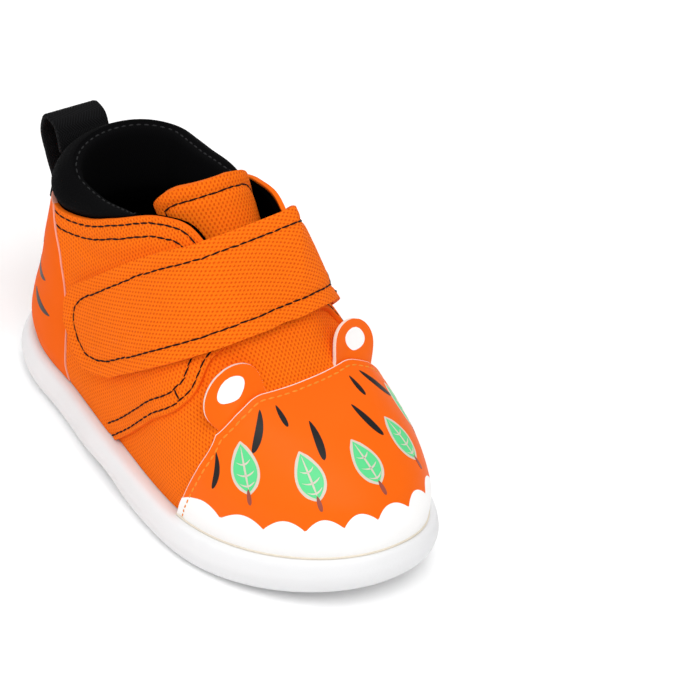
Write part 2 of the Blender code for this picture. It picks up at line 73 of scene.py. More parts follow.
TOP_PRINT = 0.11


class Side(Enum):
    """Side of the foot, as the sign of its turn round the last."""

    OUTER = -1
    INNER = 1


class Spot(NamedTuple):
    """Place on the side of the shoe: along it and above the floor."""

    x: float
    z: float


class Ring(NamedTuple):
    """Plan of the upper at a share of the way from foot line to top line."""

    share: float
    heel_x: float
    toe_x: float
    heel_outer: float
    heel_inner: float
    waist_outer: float
    waist_inner: float
    ball_outer: float
    ball_inner: float


class TopLine(NamedTuple):
    """Height of the top line on both sides, from heel (0) to throat (1)."""

    along: float
    outer: float
    inner: float


UPPER_RINGS = (
    Ring(0.00, -70.0, 70.0, 21.2, 21.5, 26.0, 21.5, 31.0, 31.6),
    Ring(0.15, -70.8, 70.4, 23.0, 22.8, 26.2, 22.8, 32.2, 32.6),
    Ring(0.30, -69.7, 67.6, 23.3, 23.2, 25.8, 23.6, 31.8, 32.2),
    Ring(0.45, -68.1, 61.0, 22.9, 22.8, 25.2, 23.6, 29.8, 30.4),
    Ring(0.60, -66.6, 49.5, 22.5, 22.4, 24.2, 23.4, 26.8, 27.2),
    Ring(0.75, -65.4, 32.5, 21.9, 21.8, 22.8, 22.4, 23.0, 23.4),
    Ring(0.88, -64.5, 26.0, 21.3, 21.2, 21.4, 21.2, 19.4, 19.6),
    Ring(1.00, -63.8, 20.5, 20.7, 20.7, 19.4, 19.4, 14.4, 14.4),
)
TOP_LINE = (
    TopLine(0.00, 60.0, 60.0),
    TopLine(0.20, 62.8, 63.4),
    TopLine(0.31, 66.2, 67.0),
    TopLine(0.42, 71.8, 72.4),
    TopLine(0.60, 80.8, 80.8),
    TopLine(0.71, 83.2, 83.2),
    TopLine(0.81, 79.8, 79.8),
    TopLine(0.91, 70.2, 70.2),
    TopLine(1.00, 60.5, 60.5),
)


def hermite(s: Array, start: Array, end: Array, leave: Array, arrive: Array) -> Array:
    """Cubic from start to end at the shares s, with its leans at both ends."""
    return (
        (1 + 2 * s) * (1 - s) ** 2 * start
        + s * (1 - s) ** 2 * leave
        + s * s * (3 - 2 * s) * end
        + s * s * (s - 1) * arrive
    )


def curve(x: Array, xs: Sequence[float], ys: Sequence[float]) -> Array:
    """Monotone cubic through given points.

    Args:
        x: Where to read the curve.
        xs: Places of the points, rising.
        ys: Values of the points.

    Returns:
        The curve's values at x.
    """
    xs = np.asarray(xs, float)
    ys = np.asarray(ys, float)
    step = np.diff(xs)
    slope = np.diff(ys) / step
    lean = np.concatenate((slope[:1], np.zeros(len(xs) - 2), slope[-1:]))
    for i in range(1, len(xs) - 1):
        if slope[i - 1] * slope[i] > 0.0:
            before = 2.0 * step[i] + step[i - 1]
            after = step[i] + 2.0 * step[i - 1]
            lean[i] = (before + after) / (before / slope[i - 1] + after / slope[i])
    x = np.clip(x, xs[0], xs[-1])
    i = np.clip(np.searchsorted(xs, x, side="right") - 1, 0, len(xs) - 2)
    return hermite((x - xs[i]) / step[i], ys[i], ys[i + 1], step[i] * lean[i], step[i] * lean[i + 1])


def run(steps: Array) -> Array:
    """Distances from the start after each of some steps."""
    return np.concatenate(([0.0], np.cumsum(steps)))


def through(points: Sequence[Any], count: int) -> Array:
    """Even row of points on a smooth curve.

    Args:
        points: Points that the curve passes through.
        count: Number of points wanted.

    Returns:
        Array of count points.
    """
    points = np.asarray(points, float)
    chord = run(np.linalg.norm(np.diff(points, axis=0), axis=1))
    places = np.linspace(0.0, chord[-1], count)
    return np.stack([curve(places, chord, column) for column in points.T], axis=1)


def evened(path: Array, step: float) -> Array:
    """Path with its points an even step apart."""
    chord = run(np.linalg.norm(np.diff(path, axis=0), axis=1))
    places = np.linspace(0.0, chord[-1], max(int(chord[-1] / step), 2) + 1)
    return np.stack([np.interp(places, chord, column) for column in path.T], axis=1)


def ruled(left: Array, right: Array, count: int) -> Array:
    """Grid of straight rows between two columns of points, with count steps across."""
    share = np.linspace(0.0, 1.0, count + 1)[None, :, None]
    return left[:, None] * (1.0 - share) + right[:, None] * share


def across_ring(ring: Array, count: int) -> Array:
    """Grid across a closed outline, from its outer to its inner side, with count steps across."""
    half = len(ring) // 2 + 1
    return ruled(ring[::-1][:half], ring[:half], count)


def rounded(loop: Array, passes: int) -> Array:
    """Closed path with its corners rounded off.

    Args:
        loop: Points of the path, the first not repeated.
        passes: How often each point is averaged with its neighbours.

    Returns:
        The new points, with the first repeated at the end.
    """
    loop = evened(np.concatenate((loop, loop[:1])), FINE_STEP)[:-1]
    for _ in range(passes):
        loop = 0.5 * loop + 0.25 * (np.roll(loop, 1, axis=0) + np.roll(loop, -1, axis=0))
    return np.concatenate((loop, loop[:1]))


def coons(bottom: Array, top: Array, left: Array, right: Array) -> Array:
    """Grid filling four bounding rows.

    Args:
        bottom: Row from left to right.
        top: Row from left to right.
        left: Column from bottom to top.
        right: Column from bottom to top.

    Returns:
        Array of rows x columns x coordinates.
    """
    a = np.linspace(0.0, 1.0, len(bottom))[None, :, None]
    b = np.linspace(0.0, 1.0, len(left))[:, None, None]
    blend = (1 - b) * bottom[None] + b * top[None] + (1 - a) * left[:, None] + a * right[:, None]
    low = (1 - a) * bottom[0] + a * bottom[-1]
    high = (1 - a) * top[0] + a * top[-1]
    return blend - (1 - b) * low - b * high


def between(left: Array, right: Array, count: int) -> Array:
    """Grid between two edges, with straight first and last rows of count steps."""
    bottom, top = (through([left[k], right[k]], count + 1) for k in (0, -1))
    return coons(bottom, top, left, right)


def three_edges(points: Array) -> Array:
    """Path up the last column of a grid, back along its last row and down its first column."""
    return np.concatenate((points[:, -1], points[-1, -2::-1], points[-2::-1, 0]))


def unit(vectors: Array) -> Array:
    """Vectors brought to length one."""
    return vectors / np.maximum(np.linalg.norm(vectors, axis=-1, keepdims=True), 1e-12)


def nearest(places: Array, line: Array) -> Array:
    """Distance from each place to the closest point of a line of points."""
    flat = places.reshape(-1, 3)
    far = [np.linalg.norm(line - place, axis=1).min() for place in flat]
    return np.array(far).reshape(places.shape[:-1])


@dataclass(frozen=True)
class Last:
    """Shape that the shoe is built on, the same as in the shoe's solids."""

    shift: Triple = (0.0, 0.0, 0.0)
    sole_length: float = 150.0
    sole_top: float = 11.5
    toe_spring: float = 8.0
    spring_start: float = 0.68
    arch_rise: float = 1.6
    arch_start: float = 0.34
    arch_end: float = 0.55
    toe_swing: float = 6.0
    heel_round: float = 0.2
    heel_power: float = 2.0
    toe_round: float = 0.62
    toe_power: float = 2.2
    toe_taper: float = 0.97
    top_line_reach: float = 3.5
    gap: float = 0.3
    wall: float = 2.0
    probe: float = 0.02
    level_below: float = 0.12
    sole_reach: float = 0.1
    near_top: float = 0.97
    halvings: int = 40
    stations: tuple[float, ...] = (0.0, 0.2, 0.42, 0.68, 1.0)

    def half_width(self, plan: Array, along: Array, outer: Array) -> Array:
        """Half width of a plan.

        Args:
            plan: Plan sizes, one row each, in the order of Ring.
            along: Share of the length from the heel.
            outer: True where the outer side is meant.

        Returns:
            Half widths in millimetres.
        """
        heel, waist, ball = (np.where(outer, plan[k], plan[k + 1]) for k in (2, 4, 6))
        widths = np.stack((heel, heel, waist, ball, self.toe_taper * ball))
        stations = np.array(self.stations)
        leans = np.gradient(widths, stations, axis=0)
        i = np.clip(np.searchsorted(stations, along, side="right") - 1, 0, len(stations) - 2)
        step = stations[i + 1] - stations[i]
        ends = [
            np.take_along_axis(rows, k[None], axis=0)[0]
            for rows in (widths, leans)
            for k in (i, i + 1)
        ]
        width = hermite((along - stations[i]) / step, ends[0], ends[1], ends[2] * step, ends[3] * step)
        heel_end = np.clip((self.heel_round - along) / self.heel_round, 0.0, 1.0)
        toe_end = np.clip((along - self.toe_round) / (1.0 - self.toe_round), 0.0, 1.0)
        width = width * (1.0 - heel_end ** self.heel_power) ** (1.0 / self.heel_power)
        return width * (1.0 - toe_end ** self.toe_power) ** (1.0 / self.toe_power)

    def plan_point(self, plan: Array, turn: Array, swing: Array) -> tuple[Array, Array]:
        """Place on a plan's outline.

        Args:
            plan: Plan sizes, one row each.
            turn: 0 at the toe, negative on the outer side, pi at the heel.
            swing: Shift of the toe towards the inner side.

        Returns:
            The x and y of the outline.
        """
        along = 0.5 + 0.5 * np.cos(turn)
        side = np.where(np.sin(turn) < 0.0, -1.0, 1.0)
        middle = swing * np.maximum(2.0 * along - 1.0, 0.0) ** 2
        width = self.half_width(plan, along, side < 0.0)
        return plan[0] + (plan[1] - plan[0]) * along, middle + side * width

    def sole_rise(self, x: Array) -> tuple[Array, Array]:
        """Lift of the sole's underside at x by the toe spring and by the arch."""
        along = x / self.sole_length + 0.5
        toe = np.maximum(along - self.spring_start, 0.0) / (1.0 - self.spring_start)
        inside = np.clip((along - self.arch_start) / (self.arch_end - self.arch_start), 0.0, 1.0)
        return self.toe_spring * toe * toe, self.arch_rise * np.sin(math.pi * inside) ** 2

    def skin(self, turn: Array, share: Array) -> Array:
        """Places on the outside of the upper's wall.

        Args:
            turn: Turn round the last.
            share: Share of the way up, 0 to 1.

        Returns:
            Places in the frame of the size tables.
        """
        turn, share = np.broadcast_arrays(np.asarray(turn, float), np.asarray(share, float))
        turn = (turn + math.pi) % (2.0 * math.pi) - math.pi
        shares = [ring.share for ring in UPPER_RINGS]
        plan = np.stack([curve(share, shares, column) for column in list(zip(*UPPER_RINGS))[1:]])
        x, y = self.plan_point(plan, turn, self.toe_swing * (1.0 - share))
        along = 0.5 + 0.5 * np.cos(turn)
        foot = self.sole_top + self.gap + self.sole_rise(x)[0]
        level = TOP_LINE[0].outer + (TOP_LINE[-1].outer - TOP_LINE[0].outer) * along
        rows = [row.along for row in TOP_LINE]
        outer = curve(along, rows, [row.outer for row in TOP_LINE])
        inner = curve(along, rows, [row.inner for row in TOP_LINE])
        top = np.where(turn < 0.0, outer, inner)
        z = foot + (level - foot) * share + (top - level) * share ** self.top_line_reach
        return np.stack((x, y, z), axis=-1)

    def normal(self, turn: Array, share: Array) -> Array:
        """Outward directions of the upper's wall, level at the foot line.

        Args:
            turn: Turn round the last.
            share: Share of the way up.

        Returns:
            Unit vectors.
        """
        turn, share = np.broadcast_arrays(np.asarray(turn, float), np.asarray(share, float))
        around = self.skin(turn + self.probe, share) - self.skin(turn - self.probe, share)
        high = np.minimum(share + self.probe, 1.0)
        low = np.maximum(share - self.probe, 0.0)
        normal = np.cross(around, self.skin(turn, high) - self.skin(turn, low))
        normal[..., 2] *= np.minimum(share / self.level_below, 1.0)
        return unit(normal)

    def at(self, turn: Array, share: Array, offset: Array) -> Array:
        """Places at a distance from the upper's wall, in the shoe's own frame.

        Args:
            turn: Turn round the last.
            share: Share of the way up.
            offset: Distance outside the wall, or below zero inside it.

        Returns:
            Places in millimetres.
        """
        turn, share, offset = np.broadcast_arrays(*(np.asarray(v, float) for v in (turn, share, offset)))
        base = self.skin(turn, share)
        point = base + offset[..., None] * self.normal(turn, share)
        near_sole = np.maximum(1.0 - share / self.sole_reach, 0.0)
        point[..., 2] += near_sole * (self.sole_rise(point[..., 0])[0] - self.sole_rise(base[..., 0])[0])
        return point + np.array(self.shift)

    def upward(self, turn: Array) -> Array:
        """Direction in which the wall would go on above its top line."""
        return unit(self.skin(turn, 1.0) - self.skin(turn, self.near_top))

    def turn_at(self, x: Array, share: Array, side: Side) -> Array:
        """Turn of a ring at a place along the shoe.

        Args:
            x: Place along the shoe.
            share: Share of the way up.
            side: Side of the foot.

        Returns:
            Turns with the side's sign.
        """
        shares = [ring.share for ring in UPPER_RINGS]
        heel = curve(share, shares, [ring.heel_x for ring in UPPER_RINGS])
        toe = curve(share, shares, [ring.toe_x for ring in UPPER_RINGS])
        along = (x - heel) / (toe - heel)
        return side.value * np.arccos(np.clip(2.0 * along - 1.0, -1.0, 1.0))

    def on_side(self, spots: Sequence[Spot], side: Side) -> Array:
        """Turn and share of the wall at given places.

        Args:
            spots: Places along the shoe and above the floor.
            side: Side of the foot.

        Returns:
            Array with a turn and a share for each spot.
        """
        x, z = np.array(spots, float).T
        low = np.zeros_like(x)
        high = np.ones_like(x)
        for _ in range(self.halvings):
            share = 0.5 * (low + high)
            below = self.skin(self.turn_at(x, share, side), share)[:, 2] < z
            low = np.where(below, share, low)
            high = np.where(below, high, share)
        return np.stack((self.turn_at(x, share, side), share), axis=1)

    def lay(self, grid: Array, offset: Array | float) -> Array:
        """Grid of turns and shares carried to a distance from the wall."""
        return self.at(grid[..., 0], grid[..., 1], offset)


class Surface:
    """Grid of places on the outer side of a piece, with its edges and its lie."""

    edge_step = 0.8
    closed_within = 0.5
    clear = 0.93

    def __init__(self, points: Array) -> None:
        """Keep the grid and prepare it for finding the closest place on it."""
        self.points = points
        rows, columns = points.shape[:2]
        index = np.arange(rows * columns).reshape(rows, columns)
        corners = (index[:-1, :-1], index[:-1, 1:], index[1:, 1:], index[1:, :-1])
        faces = np.stack([corner.ravel() for corner in corners], axis=1)
        self.tree = BVHTree.FromPolygons(points.reshape(-1, 3).tolist(), faces.tolist())

    def snap(self, places: Array) -> tuple[Array, Array]:
        """Closest places on the surface, and the outward directions there."""
        found = [self.tree.find_nearest(Vector(place))[:2] for place in places]
        return np.array([hit[0] for hit in found]), np.array([hit[1] for hit in found])

    def drop(self, places: Array, along: Array) -> tuple[Array, Array]:
        """Places carried on to the surface in one direction.

        Args:
            places: Points outside the surface.
            along: Direction to carry them in.

        Returns:
            The places on the surface and the outward directions there.
        """
        hits = []
        for place in places:
            hit = self.tree.ray_cast(Vector(place), Vector(along))
            hits.append(hit if hit[0] is not None else self.tree.find_nearest(Vector(place)))
        return np.array([hit[0] for hit in hits]), np.array([hit[1] for hit in hits])

    def rim(self) -> Array:
        """Closed path round the edge of the grid."""
        p = self.points
        return np.concatenate((p[0], p[1:, -1], p[-1, -2::-1], p[-2::-1, 0]))

    def inset(self, edge: Array, distance: float) -> Array:
        """Path on the surface beside one of its edges.

        Args:
            edge: Points of the edge.
            distance: How far in from the edge the path runs.

        Returns:
            Points of the path, kept clear of every part of the edge.
        """
        edge = evened(edge, self.edge_step)
        _, normal = self.snap(edge)
        if np.linalg.norm(edge[0] - edge[-1]) < self.closed_within:
            tangent = np.roll(edge, -1, axis=0) - np.roll(edge, 1, axis=0)
        else:
            tangent = np.gradient(edge, axis=0)
        inward = unit(np.cross(normal, tangent))
        middle = self.points.reshape(-1, 3).mean(axis=0)
        if np.sum(inward * (middle - edge)) < 0.0:
            inward = -inward
        moved, _ = self.snap(edge + distance * inward)
        return moved[nearest(moved, edge) > self.clear * distance]


def lie(points: Array) -> Array:
    """Outward directions of a grid of places."""
    return unit(np.cross(np.gradient(points, axis=1), np.gradient(points, axis=0)))


def pressed(points: Array, lines: Sequence[Array], depth: float, width: float) -> Array:
    """Grid pressed in softly along lines.

    Args:
        points: Grid of places.
        lines: Paths to press along.
        depth: Depth of the trough, below zero for a ridge.
        width: Half width of the trough.

    Returns:
        The pressed grid.
    """
    normal = lie(points)
    for line in lines:
        sink = depth * np.exp(-((nearest(points, evened(line, LINE_STEP)) / width) ** 2))
        points = points - sink[..., None] * normal
    return points


def drawn_straight(points: Array, passes: int, held: int) -> Array:
    """Grid whose lengthwise lines are pulled straight within the surface.

    Args:
        points: Grid of places.
        passes: How often the lines are evened.
        held: Rows at either end that stay in place.

    Returns:
        The straightened grid.
    """
    count = len(points)
    rows = np.arange(count)
    inside = np.minimum(rows, count - 1 - rows) - held
    ease = np.clip(inside / float(held), 0.0, 1.0)[1:-1, None, None]
    points = points.copy()
    for _ in range(passes):
        normal = lie(points)[1:-1]
        pull = 0.5 * (points[:-2] + points[2:]) - points[1:-1]
        pull = pull - (pull * normal).sum(axis=-1, keepdims=True) * normal
        points[1:-1] += 0.5 * ease * pull
    return points


def linear(colour: str) -> tuple[float, float, float, float]:
    """Linear colour of an sRGB hex value.

    Args:
        colour: Six hex digits after a hash.

    Returns:
        Red, green, blue and alpha.
    """
    parts = [int(colour[k : k + 2], 16) / 255.0 for k in (1, 3, 5)]
    red, green, blue = (p / 12.92 if p <= 0.04045 else ((p + 0.055) / 1.055) ** 2.4 for p in parts)
    return red, green, blue, 1.0


def add(tree: Any, kind: str, settings: dict[str, Any], inputs: dict[int | str, Any]) -> Any:
    """Add a node with its settings and what goes into it.

    Args:
        tree: Node tree of the material.
        kind: Node type.
        settings: Properties to set.
        inputs: Values, or sockets to link from, by input.

    Returns:
        The new node.
    """
    node = tree.nodes.new(kind)
    for name, value in settings.items():
        setattr(node, name, value)
    for key, value in inputs.items():
        if isinstance(value, bpy.types.NodeSocket):
            tree.links.new(value, node.inputs[key])
        else:
            node.inputs[key].default_value = value
    return node


@dataclass(frozen=True)
class Finish:
    """Material of a piece: its name, colour and how it takes light."""

    name: str
    colour: str
    roughness: float
    specular: float = 0.5
    mottle: float = 0.06
    bump: float = 0.4
    relief: float = 0.1
    patch: ClassVar[float] = 14.0
    grain: ClassVar[float] = 0.5

    def make(self) -> bpy.types.Material:
        """Material, made at its first use."""
        known = bpy.data.materials.get(self.name)
        if known:
            return known
        material = bpy.data.materials.new(self.name)
        material.use_nodes = True
        tree = material.node_tree
        shader = tree.nodes["Principled BSDF"]
        shader.inputs["Roughness"].default_value = self.roughness
        shader.inputs["Specular IOR Level"].default_value = self.specular
        colour, height = self.pattern(tree)
        tree.links.new(colour, shader.inputs["Base Color"])
        lift = {"Strength": self.bump, "Distance": self.relief * MM, "Height": height}
        tree.links.new(add(tree, "ShaderNodeBump", {}, lift).outputs[0], shader.inputs["Normal"])
        return material

    def places(self, tree: Any) -> Any:
        """Socket with the object's own coordinates, in metres."""
        return add(tree, "ShaderNodeTexCoord", {}, {}).outputs["Object"]

    def noise(self, tree: Any, size: float) -> Any:
        """Socket with noise round one half, its grains of a size in millimetres."""
        inputs = {"Vector": self.places(tree), "Scale": 1.0 / (size * MM), "Detail": 3.0}
        return add(tree, "ShaderNodeTexNoise", {}, inputs).outputs[0]

    def math(self, tree: Any, operation: str, first: Any, second: Any = 0.0) -> Any:
        """Socket with the result of one sum."""
        return add(tree, "ShaderNodeMath", {"operation": operation}, {0: first, 1: second}).outputs[0]

    def mixed(self, tree: Any, share: Any, first: Any, second: Any) -> Any:
        """Socket with a colour between two colours."""
        return add(tree, "ShaderNodeMix", {"data_type": "RGBA"}, {0: share, 6: first, 7: second}).outputs[2]

    def mottled(self, tree: Any, colour: Any) -> Any:
        """Socket with a colour that varies a little in patches over the piece."""
        share = self.math(tree, "MULTIPLY", self.noise(tree, self.patch), 2.0 * self.mottle)
        return self.mixed(tree, share, colour, (0.0, 0.0, 0.0, 1.0))

    def pattern(self, tree: Any) -> tuple[Any, Any]:
        """Colour and height sockets of a plain surface with a fine grain."""
        return self.mottled(tree, linear(self.colour)), self.noise(tree, self.grain)


@dataclass(frozen=True)
class Canvas(Finish):
    """Woven polyester canvas: rows of small pits, each row set half a pit on."""

    # The darker, redder pit colour is painted shade; Knit uses this field for the painted highlight on its
    # ribs.
    painted_light_colour: str = "#DC4A02"
    pit_pitch: float = 1.25
    row_pitch: float = 1.02
    painted_light_strength: float = 0.95
    patch: ClassVar[float] = 18.0
    grain: ClassVar[float] = 0.35
    fuzz: ClassVar[float] = 0.35
    waver_size: ClassVar[float] = 2.2
    waver: ClassVar[float] = 0.9

    def threads(self, tree: Any) -> tuple[Any, Any]:
        """Sockets with the piece's own thread directions, in millimetres."""
        found = add(tree, "ShaderNodeUVMap", {"uv_map": THREAD_MAP}, {})
        split = add(tree, "ShaderNodeSeparateXYZ", {}, {0: found.outputs[0]})
        return split.outputs[0], split.outputs[1]

    def woven(self, tree: Any, painted_light_mask: Any, operation: str, wave: Any) -> tuple[Any, Any]:
        """Colour and height sockets of a fuzzy weave.

        Args:
            tree: Node tree of the material.
            painted_light_mask: Where the second colour shows: painted shade in canvas pits, painted highlight
                on knit rib crests.
            operation: How the wave goes into the height.
            wave: Height of the threads.

        Returns:
            The two sockets.
        """
        # Share of the second colour: painted shade in canvas pits, painted highlight on knit rib crests.
        shade = self.math(tree, "MULTIPLY", painted_light_mask, self.painted_light_strength)
        colour = self.mixed(tree, shade, linear(self.colour), linear(self.painted_light_colour))
        fuzz = self.math(tree, "MULTIPLY", self.noise(tree, self.grain), self.fuzz)
        return self.mottled(tree, colour), self.math(tree, operation, fuzz, wave)

    def pattern(self, tree: Any) -> tuple[Any, Any]:
        """Colour and height sockets of the weave, with painted shade darkening its pits."""
        along, across = self.threads(tree)
        waver = self.math(tree, "MULTIPLY", self.noise(tree, self.waver_size), self.waver)
        first = self.math(tree, "MULTIPLY_ADD", along, 2.0 * math.pi / self.pit_pitch)
        tree.links.new(waver, first.node.inputs[2])
        second = self.math(tree, "MULTIPLY", across, math.pi / self.row_pitch)
        waves = [self.math(tree, "COSINE", wave) for wave in (first, second)]
        pit = self.math(tree, "MAXIMUM", self.math(tree, "MULTIPLY", waves[0], waves[1]), 0.0)
        # Pits get the painted shade colour and also sink in the height.
        return self.woven(tree, pit, "SUBTRACT", pit)


@dataclass(frozen=True)
class Knit(Canvas):
    """Black jersey or webbing: fine slanting ribs that turn from row to row."""

    rib: float = 0.9
    band: float = 3.0
    patch: ClassVar[float] = 12.0
    grain: ClassVar[float] = 0.4
    fuzz: ClassVar[float] = 0.6

    def pattern(self, tree: Any) -> tuple[Any, Any]:
        """Colour and height sockets of the ribs, with a painted highlight on their crests."""
        along, across = self.threads(tree)
        zigzag = self.math(tree, "PINGPONG", across, self.band)
        slant = self.math(tree, "ADD", along, zigzag)
        wave = self.math(tree, "SINE", self.math(tree, "MULTIPLY", slant, 2.0 * math.pi / self.rib))
        # Rib crests get the painted highlight colour and also rise in the height.
        return self.woven(tree, self.math(tree, "MAXIMUM", wave, 0.0), "ADD", wave)


@dataclass(frozen=True)
class Pebbled(Finish):
    """Moulded white rubber: an even, faintly pebbled skin."""

    pebble: float = 0.9
    patch: ClassVar[float] = 20.0

    def pattern(self, tree: Any) -> tuple[Any, Any]:
        """Colour and height sockets of the moulded skin."""
        inputs = {"Vector": self.places(tree), "Scale": 1.0 / (self.pebble * MM)}
        cells = add(tree, "ShaderNodeTexVoronoi", {"feature": "SMOOTH_F1"}, inputs).outputs[0]
        return self.mottled(tree, linear(self.colour)), cells


# Canvas is matt and takes light softly; its pits are painted darker and redder than the threads as painted
# shade.
CANVAS = Canvas("woven_polyester_canvas", "#FC7510", 0.9, 0.08, 0.05, 0.6, 0.3)
CANVAS_FOLD = Finish("folded_canvas_edge", "#F26C0E", 0.9, 0.08, 0.05, 0.5, 0.25)
# Coated sheet has a smooth, slightly glossy skin with a very fine grain and a pale cut edge.
COATED = Finish("coated_polyurethane_sheet", "#F46608", 0.5, 0.1, 0.03, 0.15, 0.05)
COUNTER_SHEET = Finish("coated_polyurethane_counter", "#F06206", 0.65, 0.04, 0.03, 0.15, 0.05)
CUT_EDGE = Finish("sheet_cut_edge", "#F6E6DA", 0.8, 0.2)
PINK_EDGE = Finish("counter_cut_edge", "#F2A48E", 0.8, 0.2)
# Rubber scatters light evenly and shows no hard gloss.
RUBBER = Pebbled("moulded_white_rubber", "#E8E8E9", 0.6, 0.2, 0.03, 0.25, 0.1)
GLUE = Finish("tan_sole_cement", "#E6DCCB", 0.5, 0.3)
# Black cloths differ in their ribs and in how bright the painted highlight on the rib crests is; threads vary
# along their length.
JERSEY = Knit("black_polyester_jersey", "#060607", 0.9, 0.05, 0.05, 0.3, 0.1, "#0B0B0C", rib=0.8, band=0.8)
WEBBING = Knit("black_nylon_webbing", "#080809", 0.8, 0.1, 0.05, 0.5, 0.2, "#161618", rib=0.9, band=1.6)
# The lining's near-pure black is partly the cloth's own black and partly painted shade of the shoe's dark
# inside.
LINING_AND_PAINTED_SHADE = Finish("black_lining_cloth_and_painted_shade", "#020202", 0.95, 0.0, 0.1, 0.2, 0.1)
COLLAR_THREAD = Finish("black_polyester_thread", "#1C1C1E", 0.7, 0.3, 0.2, 0.5, 0.08)
THREAD = Finish("black_cotton_thread", "#1A0806", 0.8, 0.15, 0.2, 0.5, 0.08)
CAP_THREAD = Finish("orange_cotton_thread", "#FF9A30", 0.75, 0.2, 0.2, 0.5, 0.08)
# Inks lie on the coated sheet and are a little glossier than it.
BLACK_INK = Finish("black_print", "#0E0C0C", 0.45, 0.3, 0.05, 0.15, 0.05)
WHITE_INK = Finish("white_print", "#FAF9F8", 0.45, 0.3, 0.02, 0.15, 0.05)
GREEN_INK = Finish("green_print", "#5CD68A", 0.45, 0.3, 0.03, 0.15, 0.05)
CREAM_INK = Finish("warm_grey_print", "#D5CBBB", 0.45, 0.3, 0.03, 0.15, 0.05)
BROWN_INK = Finish("brown_print", "#9A4A3A", 0.45, 0.3, 0.03, 0.15, 0.05)
PAPER = Finish("pale_paper", "#FFFFFF", 0.9, 0.1, 0.0, 0.0)


def only(obj: bpy.types.Object) -> None:
    """Select one object alone and make it active."""
    bpy.ops.object.select_all(action="DESELECT")
    obj.select_set(True)
    bpy.context.view_layer.objects.active = obj


@contextmanager
def editing(obj: bpy.types.Object) -> Iterator[None]:
    """Edit mode on one object, with all of its mesh selected."""
    only(obj)
    bpy.ops.object.mode_set(mode="EDIT")
    bpy.ops.mesh.select_all(action="SELECT")
    yield
    bpy.ops.object.mode_set(mode="OBJECT")


def values(items: Any, name: str, width: int, kind: type = float) -> Array:
    """Values of a mesh's vertices or corners.

    Args:
        items: Collection of the mesh.
        name: Property to read.
        width: How many numbers each item has.
        kind: Type of the numbers.

    Returns:
        Array with a row for each item.
    """
    flat = np.empty(len(items) * width, kind)
    items.foreach_get(name, flat)
    return flat.reshape(-1, width)


def apply(obj: bpy.types.Object, kind: str, **settings: Any) -> None:
    """Add a modifier and apply it.

    Args:
        obj: Piece to change.
        kind: Modifier type.
        **settings: Properties of the modifier.
    """
    only(obj)
    modifier = obj.modifiers.new(kind, kind)
    for name, value in settings.items():
        setattr(modifier, name, value)
    bpy.ops.object.modifier_apply(modifier=modifier.name)


def sheet(name: str, points: Array) -> bpy.types.Object:
    """Grid primitive whose vertices are carried to given places.

    Args:
        name: Name of the piece.
        points: Rows x columns x 3 places in millimetres.

    Returns:
        The new object, with a thread map in millimetres.
    """
    rows, columns = points.shape[:2]
    bpy.ops.object.select_all(action="DESELECT")
    bpy.ops.mesh.primitive_grid_add(x_subdivisions=columns - 1, y_subdivisions=rows - 1, size=2.0)
    obj = bpy.context.active_object
    obj.name = obj.data.name = name
    mesh = obj.data
    share = (values(mesh.vertices, "co", 3)[:, :2] + 1.0) / 2.0
    column = np.rint(share[:, 0] * (columns - 1)).astype(int)
    row = np.rint(share[:, 1] * (rows - 1)).astype(int)
    mesh.vertices.foreach_set("co", (points[row, column] * MM).ravel())
    across = np.linalg.norm(np.diff(points, axis=1), axis=2).mean(axis=0)
    along = np.linalg.norm(np.diff(points, axis=0), axis=2).mean(axis=1)
    threads = np.stack((run(across)[column], run(along)[row]), axis=1)
    corner = values(mesh.loops, "vertex_index", 1, int)[:, 0]
    mesh.uv_layers[0].name = THREAD_MAP
    mesh.uv_layers[0].data.foreach_set("uv", threads[corner].ravel())
    mesh.update()
    return obj


def unwrap(obj: bpy.types.Object, towards: Triple) -> None:
    """Lay the piece's thread map out flat, as the cloth was cut.

    Args:
        obj: Piece that is still one open sheet.
        towards: Direction on the shoe that the threads run along.
    """
    with editing(obj):
        bpy.ops.uv.unwrap(method="MINIMUM_STRETCH", margin=0.0)
    mesh = obj.data
    corner = values(mesh.loops, "vertex_index", 1, int)[:, 0]
    layer = mesh.uv_layers[THREAD_MAP].data
    flat = values(layer, "uv", 2)
    solid = values(mesh.vertices, "co", 3)[corner] / MM
    starts = np.arange(0, len(corner), 4)
    edges = [(solid[starts + k] - solid[starts], flat[starts + k] - flat[starts]) for k in (1, 3)]
    lengths = [np.linalg.norm(step, axis=1).sum() for step in edges[0]]
    grow = lengths[0] / lengths[1]
    pull = sum((solid_step @ np.array(towards)) @ flat_step for solid_step, flat_step in edges)
    angle = math.atan2(pull[1], pull[0])
    turned = np.array(((math.cos(angle), -math.sin(angle)), (math.sin(angle), math.cos(angle))))
    layer.foreach_set("uv", (flat @ turned * grow).ravel())


def weld(obj: bpy.types.Object, fill: bool = False) -> None:
    """Merge doubled vertices, close open ends if asked and turn the faces outwards.

    Args:
        obj: Piece to weld.
        fill: True to close its open ends.
    """
    with editing(obj):
        bpy.ops.mesh.remove_doubles(threshold=WELD_WITHIN)
        if fill:
            bpy.ops.mesh.select_all(action="DESELECT")
            bpy.ops.mesh.select_mode(type="EDGE")
            bpy.ops.mesh.select_non_manifold(extend=False)
            bpy.ops.mesh.edge_face_add()
            bpy.ops.mesh.select_mode(type="VERT")
        bpy.ops.mesh.select_all(action="SELECT")
        bpy.ops.mesh.normals_make_consistent(inside=False)


def joined(name: str, objects: Sequence[bpy.types.Object]) -> bpy.types.Object:
    """Objects joined into the first one.

    Args:
        name: Name of the result.
        objects: Meshes to join.

    Returns:
        The joined object.
    """
    only(objects[0])
    for obj in objects:
        obj.select_set(True)
    bpy.ops.object.join()
    objects[0].name = objects[0].data.name = name
    return objects[0]


